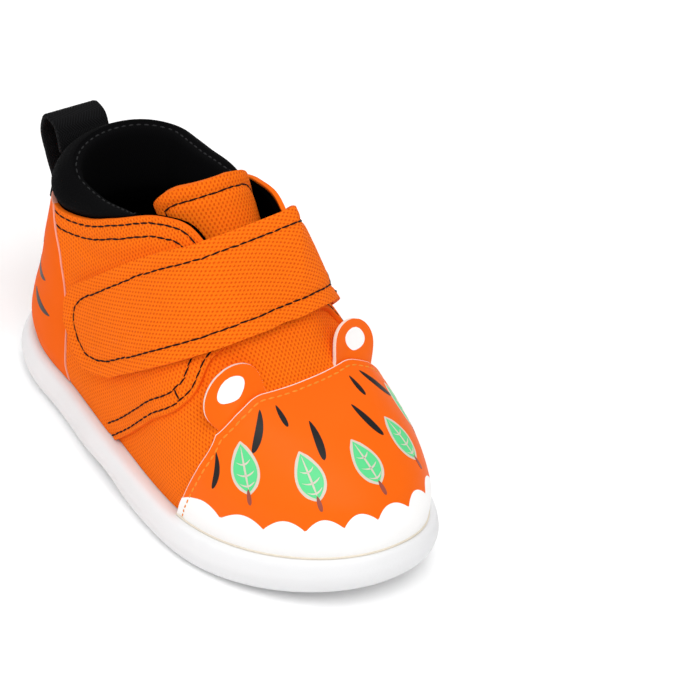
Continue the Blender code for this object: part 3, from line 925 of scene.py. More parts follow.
def thicken(
    obj: bpy.types.Object,
    thickness: float,
    rounding: float = 0.0,
    rim: int = 0,
    back: int = 0,
) -> None:
    """Give a sheet its thickness, inwards from its outer side, and round its edges.

    Args:
        obj: Open sheet.
        thickness: Thickness in millimetres.
        rounding: Radius of the edges in millimetres, 0 for cut edges.
        rim: Material place of the edge faces.
        back: Material place of the inner side.
    """
    while len(obj.data.materials) <= max(rim, back):
        obj.data.materials.append(None)
    apply(
        obj,
        "SOLIDIFY",
        thickness=thickness * MM,
        offset=-1.0,
        use_even_offset=False,
        material_offset=back,
        material_offset_rim=rim,
    )
    if rounding:
        apply(
            obj,
            "BEVEL",
            width=rounding * MM,
            segments=3,
            limit_method="ANGLE",
            angle_limit=math.radians(SHARP_EDGE),
            use_clamp_overlap=True,
            material=rim or -1,
        )


def settle(
    obj: bpy.types.Object,
    finishes: Sequence[Finish],
    stands_for: Sequence[str] = (),
) -> bpy.types.Object:
    """Dress a finished piece and hand it to the frame.

    Args:
        obj: Finished piece.
        finishes: Its materials, in the order of its material places.
        stands_for: Nodes of the solids that the piece replaces.

    Returns:
        The same piece.
    """
    while len(obj.data.materials) < len(finishes):
        obj.data.materials.append(None)
    for place, finish in enumerate(finishes):
        obj.data.materials[place] = finish.make()
    only(obj)
    bpy.ops.object.shade_smooth_by_angle(angle=math.radians(SMOOTH_BELOW))
    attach(obj, BODY)
    if stands_for:
        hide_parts(*stands_for)
    obj.data.calc_loop_triangles()
    LOG.info("%s: %d triangles", obj.name, len(obj.data.loop_triangles))
    return obj


@dataclass
class Stitching:
    """Rows of lock stitches of one thread, copied from one modelled stitch."""

    name: str
    finish: Finish
    slot: str
    pitch: float = 2.9
    length: float = 3.1
    width: float = 0.54
    height: float = 0.42
    dip: float = 0.10
    sink: float = 0.0
    step: float = 0.4
    reach: float = 0.4
    unevenness: float = 0.05
    frames: list[tuple[Array, Array, Array]] = field(default_factory=list)

    def row(self, surface: Surface, path: Array) -> None:
        """Sew along a path.

        Args:
            surface: Surface that the row lies on.
            path: Points of the row.
        """
        fine = evened(path, self.step)
        count = max(int(len(fine) * self.step / self.pitch), 1)
        centres = (np.arange(count) + 0.5) * (len(fine) - 1) / count
        reach = self.reach * self.pitch / self.step
        index = np.arange(len(fine))
        behind, middle, ahead = (
            np.stack([np.interp(centres + d, index, column) for column in fine.T], axis=1)
            for d in (-reach, 0.0, reach)
        )
        places, normals = surface.snap(middle)
        for place, normal, lead in zip(places - self.sink * normals, normals, unit(ahead - behind)):
            self.frames.append((place, lead, normal))

    def sew(self, points: Array, rows: Sequence[Array], trough: tuple[float, float]) -> Surface:
        """Press a grid in along rows and sew them.

        Args:
            points: Grid of places.
            rows: Paths of the rows.
            trough: Depth and half width of the trough under the thread.

        Returns:
            The pressed surface.
        """
        surface = Surface(pressed(points, rows, *trough))
        for row in rows:
            self.row(surface, row)
        return surface

    def build(self) -> bpy.types.Object:
        """Model one stitch, copy it to every place and settle the rows as one piece."""
        bpy.ops.object.select_all(action="DESELECT")
        bpy.ops.mesh.primitive_uv_sphere_add(segments=8, ring_count=6, radius=0.5)
        model = bpy.context.active_object
        with editing(model):
            bpy.ops.transform.rotate(value=math.pi / 2, orient_axis="Y", center_override=(0.0, 0.0, 0.0))
            bpy.ops.transform.resize(value=(self.length, self.width, self.height))
        stitch = np.array([vertex.co for vertex in model.data.vertices])
        stitch[:, 2] -= self.dip * (2.0 * stitch[:, 0] / self.length) ** 2 - 0.5 * self.dip
        faces = [np.array(face.vertices) for face in model.data.polygons]
        bpy.data.objects.remove(model)
        rng = np.random.default_rng(SEED)
        points: list[Array] = []
        loops: list[list[int]] = []
        for place, lead, normal in self.frames:
            side = unit(np.cross(normal, lead))
            lead = unit(np.cross(side, normal) + self.unevenness * rng.standard_normal() * side)
            side = np.cross(normal, lead)
            stretch = np.array((1.0 + self.unevenness * rng.standard_normal(), 1.0, 1.0))
            start = len(points) * len(stitch)
            points.append(place + (stitch * stretch) @ np.stack((lead, side, normal)))
            loops.extend((face + start).tolist() for face in faces)
        mesh = bpy.data.meshes.new(self.name)
        mesh.from_pydata((np.concatenate(points) * MM).tolist(), [], loops)
        obj = bpy.data.objects.new(self.name, mesh)
        bpy.context.collection.objects.link(obj)
        return settle(obj, (self.finish,))


def coated_piece(
    name: str,
    points: Array,
    thickness: float,
    node: str,
    finishes: Sequence[Finish] = (COATED, CUT_EDGE),
) -> None:
    """Model a piece cut from coated sheet and settle it.

    Args:
        name: Name of the piece.
        points: Places of its outer side.
        thickness: Thickness in millimetres.
        node: Node of the solids that it replaces.
        finishes: Its face and its cut edge.
    """
    obj = sheet(name, points)
    thicken(obj, thickness, CUT_ROUNDING, rim=1)
    settle(obj, finishes, (node,))


def canvas_piece(name: str, points: Array, threads: Triple, edge: tuple[float, float], node: str) -> None:
    """Model a piece of canvas with folded edges and settle it.

    Args:
        name: Name of the piece.
        points: Places of its outer side.
        threads: Direction on the shoe that its threads run along.
        edge: Thickness and radius of its edges, in millimetres.
        node: Node of the solids that it replaces.
    """
    obj = sheet(name, points)
    unwrap(obj, threads)
    thicken(obj, *edge, rim=1)
    settle(obj, (CANVAS, CANVAS_FOLD), (node,))


class SoleStep(NamedTuple):
    """Step of the sole's side: pulled in from the plan, share of the height."""

    inset: float
    height: float


@dataclass
class Sole:
    """Unit sole with a rounded side, an arch, toe spring and a zigzag tread."""

    last: Last
    columns: int = 320
    across: int = 40
    side_rows: int = 24
    plan: tuple[float, ...] = (-75.0, 75.0, 26.0, 26.3, 31.5, 26.3, 36.3, 36.8)
    side: tuple[SoleStep, ...] = (
        SoleStep(4.0, 0.00),
        SoleStep(1.7, 0.10),
        SoleStep(0.4, 0.32),
        SoleStep(0.0, 0.55),
        SoleStep(0.5, 0.78),
        SoleStep(1.3, 0.94),
        SoleStep(2.4, 1.00),
    )
    tread_depth: float = 1.0
    tread_pitch: float = 7.5
    tread_zigzag: float = 9.0
    tread_slant: float = 0.6
    tread_margin: float = 4.0
    tread_fade: float = 1.5
    groove_start: float = 0.25
    groove_slope: float = 0.4

    def ring(self, inset: float, height: float) -> Array:
        """Outline of the sole at one step.

        Args:
            inset: How far the step is pulled in.
            height: Share of the sole's height.

        Returns:
            Points round the sole, the first one repeated at the end.
        """
        turn = np.linspace(0.0, 2.0 * math.pi, self.columns + 1)
        ends = (self.plan[0] + inset, self.plan[1] - inset)
        sizes = np.array(ends + tuple(width - inset for width in self.plan[2:]))
        x, y = self.last.plan_point(np.tile(sizes[:, None], len(turn)), turn, self.last.toe_swing)
        spring, arch = self.last.sole_rise(x)
        low = spring + arch
        z = low + (self.last.sole_top + spring - low) * height
        return np.stack((x, y, z), axis=1) + np.array(self.last.shift)

    def tread(self, ring: Array) -> Array:
        """Underside with zigzag grooves inside a plain margin, across its outline."""
        grid = across_ring(ring, self.across)
        flat = np.array((1.0, 1.0, 0.0))
        inside = np.clip((nearest(grid * flat, ring * flat) - self.tread_margin) / self.tread_fade, 0.0, 1.0)
        bend = np.abs((grid[..., 1] / self.tread_zigzag) % 2.0 - 1.0) * self.tread_zigzag * self.tread_slant
        wave = np.cos(2.0 * math.pi * (grid[..., 0] + bend) / self.tread_pitch)
        groove = np.clip((wave - self.groove_start) / self.groove_slope, 0.0, 1.0)
        grid[..., 2] += self.tread_depth * groove * inside
        return grid

    def build(self) -> None:
        """Model the sole and settle it."""
        top = self.last.sole_top
        steps = through([(step.inset, step.height * top) for step in self.side], self.side_rows)
        rings = np.array([self.ring(inset, level / top) for inset, level in steps])
        wall = sheet("sole_unit", rings)
        under = sheet("sole_under", self.tread(rings[0]))
        over = sheet("sole_over", across_ring(rings[-1], self.across))
        obj = joined("sole_unit", [wall, under, over])
        weld(obj)
        settle(obj, (RUBBER,), ("outsole",))


@dataclass
class Footbed:
    """Cloth-covered insole that rises a little towards its edge."""

    last: Last
    share: float = 0.055
    thickness: float = 2.6
    rise: float = 3.0
    cup: float = 1.4
    columns: int = 200
    across: int = 36

    def build(self) -> None:
        """Model the insole and settle it."""
        turn = np.linspace(0.0, 2.0 * math.pi, self.columns + 1)
        ring = self.last.at(turn, self.share, -self.last.wall - 2.0 * self.last.gap)
        grid = across_ring(ring, self.across)
        spring = self.last.sole_rise(grid[..., 0] - self.last.shift[0])[0]
        edge = np.linspace(-1.0, 1.0, self.across + 1)[None, :] ** 4
        grid[..., 2] = self.last.sole_top + self.last.gap + spring + self.rise + self.cup * edge
        obj = sheet("footbed", grid)
        weld(obj)
        thicken(obj, self.thickness)
        settle(obj, (LINING_AND_PAINTED_SHADE,), ("insole",))


@dataclass(frozen=True)
class Seams:
    """Where the panels of the upper meet, in turns and shares of the last."""

    last: Last
    cap: tuple[Spot, ...] = (Spot(28.0, 22.4), Spot(29.8, 30.5), Spot(30.0, 40.0))
    cap_crown: tuple[Spot, ...] = (Spot(31.0, 45.4), Spot(30.6, 48.3))
    cap_foot: float = 24.5
    cap_ridge: float = 0.76
    counter: tuple[Spot, ...] = (Spot(-37.6, 28.0), Spot(-40.0, 38.5), Spot(-44.6, 48.5), Spot(-49.5, 56.5))
    counter_foot: float = -36.0
    counter_top: float = -52.5
    quarter_foot: float = -9.0
    quarter_rise: Spot = Spot(8.4, 32.0)
    quarter_corner: Spot = Spot(17.6, 42.6)
    quarter_facing: tuple[Spot, ...] = (Spot(18.2, 50.4), Spot(17.8, 57.6))
    quarter_throat: float = 0.97

    def foot(self, x: float, side: Side) -> tuple[float, float]:
        """Place on the foot line."""
        return float(self.last.turn_at(x, 0.0, side)), 0.0

    def cap_side(self, side: Side, count: int) -> Array:
        """Rear edge of the toe cap up one side."""
        return through([self.foot(self.cap_foot, side), *self.last.on_side(self.cap, side)], count)

    def cap_top(self, count: int) -> Array:
        """Rear edge of the toe cap over the top, from the outer to the inner side."""
        outer, inner = (self.last.on_side(self.cap[-1:] + self.cap_crown, side) for side in Side)
        return through([*outer, (0.0, self.cap_ridge), *inner[::-1]], count)

    def counter_edge(self, side: Side, count: int) -> Array:
        """Front edge of the heel counter, from foot to top line."""
        foot = self.foot(self.counter_foot, side)
        top = (float(self.last.turn_at(self.counter_top, 1.0, side)), 1.0)
        return through([foot, *self.last.on_side(self.counter, side), top], count)

    def quarter_front(self, side: Side, count: int) -> Array:
        """Front edge of the quarter, from foot over its sharp corner to the throat."""
        rise, corner, *facing = self.last.on_side(
            (self.quarter_rise, self.quarter_corner, *self.quarter_facing), side
        )
        throat = (side.value * math.acos(2.0 * self.quarter_throat - 1.0), 1.0)
        half = count // 2
        low = through([self.foot(self.quarter_foot, side), rise, corner], half + 1)
        return np.concatenate((low[:-1], through([corner, *facing, throat], count - half)))


@dataclass
class Lining:
    """Black cloth wall inside the upper, up to the rim of the throat."""

    last: Last
    outside: float = -0.1
    relief: float = 1.3
    thickness: float = 1.4
    columns: int = 180
    rows: int = 60
    front: float = 2.0
    front_ease: float = 0.3
    top_ease: float = 0.1

    def build(self) -> None:
        """Model the wall, set back where the vamp lies over it, and settle it."""
        turn = np.linspace(-math.pi, math.pi, self.columns + 1)[None, :]
        share = np.linspace(0.0, 1.0, self.rows + 1)[:, None]
        in_front = np.clip((self.front - np.abs(turn)) / self.front_ease, 0.0, 1.0)
        below_top = np.clip((1.0 - share) / self.top_ease, 0.0, 1.0)
        depth = in_front * below_top * self.relief
        obj = sheet("lining_wall", self.last.at(turn, share, self.outside - depth))
        weld(obj)
        thicken(obj, self.thickness)
        settle(obj, (LINING_AND_PAINTED_SHADE,), ("upper",))


@dataclass
class Crease:
    """Soft fold of the cloth along a line on one side."""

    spots: tuple[Spot, ...]
    depth: float
    width: float
    steps: ClassVar[int] = 40

    def press(self, points: Array, last: Last, sides: Sequence[Side], offset: float) -> Array:
        """Fold a grid.

        Args:
            points: Grid of places.
            last: Last that the fold's places are counted on.
            sides: Sides of the foot that have the fold.
            offset: Distance of the grid from the last's wall.

        Returns:
            The folded grid.
        """
        lines = [last.lay(through(last.on_side(self.spots, side), self.steps), offset) for side in sides]
        return pressed(points, lines, self.depth, self.width)


@dataclass
class Vamp:
    """Canvas over the forefoot, from under the toe cap to the throat."""

    seams: Seams
    outside: float = 0.25
    edge_size: tuple[float, float] = (0.4, 0.0)
    columns: int = 150
    rows: int = 50
    under_cap: float = 4.0
    under_quarter: float = 6.0
    above_corner: float = 1.0
    throat: float = 0.5
    tuck_turn: float = 0.9
    tuck_share: float = 0.93
    threads: Triple = (0.0, 1.0, 0.0)
    creases: tuple[Crease, ...] = (
        Crease((Spot(14.0, 30.0), Spot(20.0, 35.0), Spot(25.0, 43.0)), 0.55, 2.6),
        Crease((Spot(8.0, 20.0), Spot(14.0, 25.0), Spot(22.0, 28.0)), 0.45, 3.0),
        Crease((Spot(19.0, 46.0), Spot(24.0, 48.0), Spot(27.0, 50.0)), -0.35, 2.4),
    )

    def edge(self, front: bool) -> Array:
        """Front or rear edge, from the outer foot over the top to the inner foot."""
        seams = self.seams
        halves = []
        for side in Side:
            if front:
                foot = seams.foot(seams.cap_foot + self.under_cap, side)
                spots = seams.last.on_side(seams.cap + seams.cap_crown, side)
                spots = spots * np.array((self.tuck_turn, self.tuck_share))
            else:
                foot = seams.foot(seams.quarter_foot - self.under_quarter, side)
                x, z = seams.quarter_corner
                spots = seams.last.on_side((Spot(x - self.under_quarter, z + self.above_corner),), side)
                spots = np.concatenate((spots, [(side.value * self.throat, 1.0)]))
            halves.append([foot, *spots])
        top = (0.0, self.tuck_share * seams.cap_ridge if front else 1.0)
        return through([*halves[0], top, *halves[1][::-1]], self.columns + 1)

    def build(self) -> None:
        """Model the vamp with its creases and settle it."""
        front = self.edge(True)
        rear = self.edge(False)
        left = through([front[0], rear[0]], self.rows + 1)
        right = through([front[-1], rear[-1]], self.rows + 1)
        last = self.seams.last
        points = last.lay(coons(front, rear, left, right), self.outside)
        for crease in self.creases:
            points = crease.press(points, last, tuple(Side), self.outside)
        canvas_piece("vamp", points, self.threads, self.edge_size, "upper")


@dataclass
class Quarter:
    """Canvas side panel with a doubly sewn top edge and front edge."""

    seams: Seams
    side: Side
    thread: Stitching
    outside: float = 1.6
    edge_size: tuple[float, float] = (1.3, 0.55)
    columns: int = 110
    rows: int = 70
    rows_below_top: tuple[float, float] = (1.8, 5.4)
    rows_behind_front: tuple[float, float] = (1.5, 5.0)
    foot_reach: float = 1.8
    counter_clear: float = 0.003
    bar_points: int = 9
    trough: tuple[float, float] = (0.32, 0.9)
    threads: Triple = (1.0, 0.0, 0.35)
    creases: tuple[Crease, ...] = (
        Crease((Spot(-38.0, 57.5), Spot(-30.0, 59.0), Spot(-20.0, 65.0), Spot(-12.0, 71.5)), 0.5, 1.8),
        Crease((Spot(-26.0, 18.0), Spot(-16.0, 24.0), Spot(-8.0, 30.0)), -0.4, 4.0),
    )

    def to_sole(self, row: Array) -> Array:
        """Row drawn on past the panel's foot, down to the sole."""
        return np.concatenate((row[:1] + self.foot_reach * unit(row[:1] - row[4:5]), row))

    def build(self) -> None:
        """Model the panel, sew its edges and settle it."""
        last = self.seams.last
        rear = self.seams.counter_edge(self.side, self.rows + 1)
        rear[:, 0] -= self.side.value * self.counter_clear
        front = self.seams.quarter_front(self.side, self.rows + 1)
        grid = between(rear, front, self.columns)
        if self.side is Side.INNER:
            grid = grid[:, ::-1]
        points = last.lay(grid, self.outside)
        plain = Surface(points)
        front_column = points[:, -1] if self.side is Side.OUTER else points[:, 0]
        top_rows = [plain.inset(points[-1], d) for d in self.rows_below_top]
        front_rows = [self.to_sole(plain.inset(front_column, d)) for d in self.rows_behind_front]
        for crease in self.creases:
            points = crease.press(points, last, (self.side,), self.outside)
        surface = self.thread.sew(points, top_rows + front_rows, self.trough)
        corner = last.lay(last.on_side((self.seams.quarter_corner,), self.side), self.outside)[0]
        ends = [row[np.argmin(np.linalg.norm(row - corner, axis=1))] for row in front_rows]
        self.thread.row(surface, np.linspace(*ends, self.bar_points))
        name = f"{self.side.name.lower()}_quarter"
        canvas_piece(f"{name}_panel", surface.points, self.threads, self.edge_size, name)


class Shape(Enum):
    """Outline of a printed mark, as how blunt it is and how its widest place leans."""

    LEAF = (0.95, 0.8)
    BAR = (0.6, 0.75)


@dataclass(frozen=True)
class Motif:
    """One printed mark: its place on the last, its slant and its size."""

    shape: Shape
    turn: float
    share: float
    slant: float
    length: float
    width: float
    bend: float = 0.0
    least: ClassVar[float] = 0.04
    rows: ClassVar[int] = 25
    columns: ClassVar[int] = 7
    probe: ClassVar[float] = 0.02
    above: ClassVar[float] = 14.0
    tip: ClassVar[float] = 0.2
    taper: ClassVar[float] = 6.0

    def half_width(self, s: Array) -> Array:
        """Half width along the mark, s from 0 to 1."""
        power, lean = self.shape.value
        return np.maximum(0.5 * self.width * np.sin(math.pi * s ** lean) ** power, self.least)

    def grid(self, last: Last, surface: Surface, offset: float, lift: float, spread: float = 0.0) -> Array:
        """Mark laid on a surface.

        Args:
            last: Last that the place is counted on.
            surface: Surface to print on.
            offset: Distance of the surface from the last's wall.
            lift: Height of the print over the surface.
            spread: How much wider and longer than its size the mark is.

        Returns:
            Grid of places.
        """
        centre = last.at(self.turn, self.share, offset)
        normal = last.normal(self.turn, self.share)
        below, above = (last.at(self.turn, self.share + d, offset) for d in (-self.probe, self.probe))
        up = unit(above - below)
        side = np.cross(normal, up)
        slant = math.radians(self.slant)
        lead = math.cos(slant) * up + math.sin(slant) * side
        cross = np.cross(normal, lead)
        s = np.linspace(0.0, 1.0, self.rows)[:, None]
        t = np.linspace(1.0, -1.0, self.columns)[None, :]
        end = np.minimum(1.0, self.taper * np.minimum(s, 1.0 - s) + self.tip)
        half = self.half_width(s) + spread * end
        x = (s - 0.5) * (self.length + 2.0 * spread) + 0.0 * t
        y = t * half + self.bend * 4.0 * s * (1.0 - s)
        flat = centre + self.above * normal + x[..., None] * lead + y[..., None] * cross
        hits, normals = surface.drop(flat.reshape(-1, 3), -normal)
        return (hits + lift * normals).reshape(flat.shape)


class LeafMark(NamedTuple):
    """Bar printed on every leaf: how far above the leaf's middle, slant, size and bend."""

    rise: float
    slant: float
    length: float
    width: float
    bend: float = 0.0

    def on(self, leaves: Sequence[Motif]) -> list[Motif]:
        """The bars on some leaves."""
        size = (self.slant, self.length, self.width, self.bend)
        return [Motif(Shape.BAR, leaf.turn, leaf.share + self.rise, *size) for leaf in leaves]


class BarRow(NamedTuple):
    """Bars printed at one height, whose slant and bend grow with their turn."""

    turns: tuple[float, ...]
    share: float
    slant: float
    length: float
    width: float
    bend: float

    def motifs(self) -> list[Motif]:
        """The bars of the row."""
        size = (self.length, self.width)
        return [Motif(Shape.BAR, t, self.share, self.slant * t, *size, self.bend * t) for t in self.turns]


def printed(name: str, grids: Sequence[Array], ink: Finish) -> None:
    """Lay thin printed films and settle them as one piece.

    Args:
        name: Name of the piece.
        grids: Places of each film's upper side.
        ink: Colour of the print.
    """
    films = []
    for number, grid in enumerate(grids):
        film = sheet(f"{name}_{number}", grid)
        apply(film, "SOLIDIFY", thickness=FILM * MM, offset=-1.0)
        films.append(film)
    settle(joined(name, films), (ink,))


@dataclass
class ToeCap:
    """Coated cap over the toe, sewn along its rear edge and printed."""

    seams: Seams
    thread: Stitching
    outside: float = 1.7
    thickness: float = 1.4
    columns: int = 192
    rows: int = 72
    seam_row: float = 1.9
    trough: tuple[float, float] = (0.22, 0.8)
    border: float = 8.6
    border_foot: float = 0.15
    border_front: float = 2.0
    border_rows: int = 17
    scallops: int = 11
    scallop: float = 3.2
    scallop_power: float = 0.8
    leaf_turns: tuple[float, ...] = (-0.80, -0.42, 0.0, 0.42, 0.80)
    leaf_share: float = 0.5
    leaf_fall: float = 0.05
    leaf_length: float = 13.0
    leaf_width: float = 6.6
    leaf_outline: float = 0.7
    stem: LeafMark = LeafMark(-0.115, 0.0, 4.4, 1.2)
    veins: tuple[LeafMark, ...] = (
        LeafMark(0.0, 0.0, 11.4, 0.55),
        LeafMark(-0.055, 90.0, 4.2, 0.5, 1.0),
        LeafMark(-0.015, 90.0, 5.0, 0.5, 1.0),
        LeafMark(0.025, 90.0, 3.9, 0.5, 1.0),
    )
    bars: tuple[BarRow, ...] = (
        BarRow((-0.66, -0.24, 0.24, 0.66), 0.6, 40.0, 12.0, 2.2, 1.2),
        BarRow((-0.98, 0.98), 0.4, 12.0, 10.0, 1.7, 1.0),
        BarRow((-0.4074, 0.4074), 0.66, 0.0, 7.0, 1.5, 0.0),
    )
    surface: Surface | None = None

    def grid(self) -> Array:
        """Turns and shares of the cap, from foot to rear seam."""
        outer, inner = (self.seams.cap_side(side, self.rows + 1) for side in Side)
        foot = through([outer[0], inner[0]], self.columns + 1)
        return coons(foot, self.seams.cap_top(self.columns + 1), outer, inner)

    def build(self) -> None:
        """Model the cap, sew its seam and settle it."""
        points = self.seams.last.lay(self.grid(), self.outside)
        edge = np.concatenate((points[:, 0], points[-1, 1:-1], points[::-1, -1]))
        row = Surface(points).inset(edge, self.seam_row)
        self.surface = self.thread.sew(points, [row], self.trough)
        coated_piece("toe_cap_cover", self.surface.points, self.thickness, "toe_cap")

    def border_grid(self) -> Array:
        """Scalloped band along the cap's foot."""
        points = self.surface.points
        steps = np.linalg.norm(np.diff(points, axis=0), axis=2)
        height = np.concatenate((np.zeros((1, points.shape[1])), np.cumsum(steps, axis=0)))
        share = np.linspace(0.0, 1.0, points.shape[1])
        front = np.sin(math.pi * share) ** 2
        wave = np.abs(np.sin(math.pi * self.scallops * share)) ** self.scallop_power
        tops = self.border + self.border_front * front + self.scallop * wave
        lifted = points + LOW_PRINT * lie(points)
        band = np.empty((self.border_rows, points.shape[1], 3))
        for k, top in enumerate(tops):
            levels = np.linspace(self.border_foot, top, len(band))
            for axis in range(3):
                band[:, k, axis] = np.interp(levels, height[:, k], lifted[:, k, axis])
        return band

    def print_on(self) -> None:
        """Print a band of scallops, a fan of leaves and bars between them."""
        size = (0.0, self.leaf_length, self.leaf_width)
        shares = [self.leaf_share - self.leaf_fall * abs(turn) for turn in self.leaf_turns]
        leaves = [Motif(Shape.LEAF, *place, *size) for place in zip(self.leaf_turns, shares)]
        veins = [motif for mark in self.veins for motif in mark.on(leaves)]
        bars = [motif for row in self.bars for motif in row.motifs()]
        base = (self.seams.last, self.surface, self.outside)
        printed("toe_print_border", [self.border_grid()], WHITE_INK)
        outlines = [m.grid(*base, LOW_PRINT, self.leaf_outline) for m in leaves]
        printed("toe_print_outlines", outlines, CREAM_INK)
        printed("toe_print_leaves", [m.grid(*base, MIDDLE_PRINT) for m in leaves], GREEN_INK)
        printed("toe_print_veins", [m.grid(*base, TOP_PRINT) for m in veins], CREAM_INK)
        printed("toe_print_stems", [m.grid(*base, TOP_PRINT) for m in self.stem.on(leaves)], BROWN_INK)
        printed("toe_print_bars", [m.grid(*base, LOW_PRINT) for m in bars], BLACK_INK)


@dataclass
class HeelCounter:
    """Coated panel round the back of the heel, printed with plain bars."""

    seams: Seams
    outside: float = 1.9
    thickness: float = 1.6
    columns: int = 96
    rows: int = 60
    bars: tuple[tuple[Spot, float], ...] = (
        (Spot(-52.0, 29.0), 13.0),
        (Spot(-56.0, 37.0), 12.0),
        (Spot(-60.0, 45.0), 10.0),
    )
    bar_slant: float = 90.0
    bar_width: float = 2.4

    def build(self) -> None:
        """Model the panel, print its bars and settle it."""
        last = self.seams.last
        outer, inner = (self.seams.counter_edge(side, self.rows + 1) for side in Side)
        outer[:, 0] += 2.0 * math.pi
        points = last.lay(between(inner, outer, self.columns), self.outside)
        surface = Surface(points)
        marks = []
        for side in Side:
            for spot, length in self.bars:
                turn, share = last.on_side((spot,), side)[0]
                slant = self.bar_slant * side.value
                marks.append(Motif(Shape.BAR, turn, share, slant, length, self.bar_width, side.value))
        printed("heel_print_bars", [m.grid(last, surface, self.outside, LOW_PRINT) for m in marks], BLACK_INK)
        finishes = (COUNTER_SHEET, PINK_EDGE)
        coated_piece("heel_counter_cover", points, self.thickness, "heel_counter", finishes)


class CollarRow(NamedTuple):
    """Collar at one place along the ring from the heel."""

    along: float
    outer: float
    inner: float
    depth: float
    thickness: float


@dataclass
class Collar:
    """Padded jersey roll round the heel, sewn down near its inner rim."""

    last: Last
    thread: Stitching
    columns: int = 160
    steps: int = 4
    rows: tuple[CollarRow, ...] = (
        CollarRow(0.00, 16.4, 16.4, 14.0, 6.5),
        CollarRow(0.10, 13.2, 13.9, 14.0, 6.5),
        CollarRow(0.25, 7.8, 11.2, 13.0, 6.0),
        CollarRow(0.42, 2.8, 5.2, 12.0, 4.4),
        CollarRow(0.50, 0.8, 0.8, 6.0, 1.2),
    )
    bulge: float = 3.2
    near_top: float = 0.8
    seam_ring: int = 33
    trough: tuple[float, float] = (0.7, 0.9)

    def sections(self) -> Array:
        """Closed outlines of the roll, one for each turn."""
        end = math.acos(2.0 * self.rows[-1].along - 1.0)
        turn = np.linspace(end, 2.0 * math.pi - end, self.columns + 1)
        along = 0.5 + 0.5 * np.cos(turn)
        stations = [row.along for row in self.rows]
        outer, inner, depth, thick = (curve(along, stations, column) for column in list(zip(*self.rows))[1:])
        rise = np.where(np.sin(turn) > 0.0, inner, outer)
        below = self.last.skin(turn, 1.0) - self.last.skin(turn, self.near_top)
        height = np.linalg.norm(below, axis=1) / (1.0 - self.near_top)
        gap = self.last.gap + 0.0 * turn
        inset = self.last.wall + gap
        bulge = self.bulge * rise / self.rows[0].inner
        profile = (
            (-inset, -depth),
            (-inset, -0.5 * depth),
            (-inset, gap),
            (-0.1 + 0.0 * turn, gap),
            (0.8 * bulge, 0.2 * rise + gap),
            (bulge, 0.42 * rise),
            (0.6 * bulge, 0.72 * rise),
            (-0.1 * thick, 0.93 * rise),
            (-0.42 * thick, rise),
            (-0.8 * thick, 0.8 * rise),
            (-inset - 0.8 * thick, -0.1 * depth),
            (-inset - 0.6 * thick, -0.55 * depth),
            (-inset - 0.8, -depth),
        )
        corners = []
        for offset, level in profile:
            share = np.minimum(1.0 + level / height, 1.0)
            place = self.last.at(turn, share, offset)
            corners.append(place + self.last.upward(turn) * np.maximum(level, 0.0)[:, None])
        corners = np.array(corners)
        leans = 0.5 * (np.roll(corners, -1, axis=0) - np.roll(corners, 1, axis=0))
        s = np.linspace(0.0, 1.0, self.steps + 1)[:-1]
        rings = []
        for k in range(len(corners)):
            n = (k + 1) % len(corners)
            rings.extend(hermite(q, corners[k], corners[n], leans[k], leans[n]) for q in s)
        return np.array(rings + rings[:1])

    def build(self) -> None:
        """Model the roll, sew it and settle it."""
        points = self.sections()
        surface = self.thread.sew(points, [points[self.seam_ring]], self.trough)
        obj = sheet("collar_roll", surface.points)
        weld(obj, fill=True)
        settle(obj, (JERSEY,), ("collar",))


class TongueRow(NamedTuple):
    """Tongue's crest line, radius across it and bend to each side in degrees."""

    x: float
    z: float
    radius: float
    outer_bend: float
    inner_bend: float


@dataclass
class Tongue:
    """Padded canvas tongue with a black back, sewn along its edge."""

    last: Last
    thread: Stitching
    thickness: float = 2.8
    columns: int = 48
    lengths: int = 72
    seam: float = 4.0
    seam_start: int = 12
    trough: tuple[float, float] = (0.5, 1.1)
    rounding: float = 1.1
    threads: Triple = (0.0, 1.0, 0.0)
    rows: tuple[TongueRow, ...] = (
        TongueRow(25.5, 51.2, 22.0, 21.0, 21.0),
        TongueRow(18.6, 58.2, 18.0, 36.0, 36.0),
        TongueRow(10.0, 67.4, 14.0, 56.0, 56.0),
        TongueRow(2.0, 77.4, 13.2, 78.0, 78.0),
        TongueRow(-4.0, 85.0, 13.6, 98.0, 76.0),
        TongueRow(-7.0, 88.8, 13.8, 100.0, 60.0),
        TongueRow(-8.5, 90.7, 14.2, 80.0, 36.0),
        TongueRow(-9.1, 91.5, 14.6, 50.0, 12.0),
    )
    aside: float = 0.3

    def points(self) -> Array:
        """Upper side of the tongue, from the throat to its top."""
        crest = through(self.rows, self.lengths + 1)
        lean = unit(np.gradient(crest[:, :2], axis=0))
        x, z, radius, outer, inner = crest.T
        share = np.linspace(0.0, 1.0, self.columns + 1)[None, :]
        bend = np.radians((share - 1.0) * outer[:, None] + share * inner[:, None])
        out = np.stack((lean[:, 1], 0.0 * x, -lean[:, 0]), axis=1)
        centre = np.stack((x, self.aside + 0.0 * x, z), axis=1) - radius[:, None] * out
        across = np.array((0.0, 1.0, 0.0))
        reach = np.cos(bend)[..., None] * out[:, None] + np.sin(bend)[..., None] * across
        return centre[:, None] + radius[:, None, None] * reach + np.array(self.last.shift)

    def build(self) -> None:
        """Model the tongue, sew it and settle it."""
        points = self.points()
        edge = three_edges(points[self.seam_start:])[:-1]
        row = Surface(points).inset(edge, self.seam)
        surface = self.thread.sew(points, [row], self.trough)
        obj = sheet("tongue_pad", surface.points)
        unwrap(obj, self.threads)
        thicken(obj, self.thickness, self.rounding, rim=2, back=1)
        settle(obj, (CANVAS, LINING_AND_PAINTED_SHADE, CANVAS_FOLD), ("tongue",))


class StrapRow(NamedTuple):
    """Rear and front edge of the strap on one side."""

    rear: Spot
    front: Spot


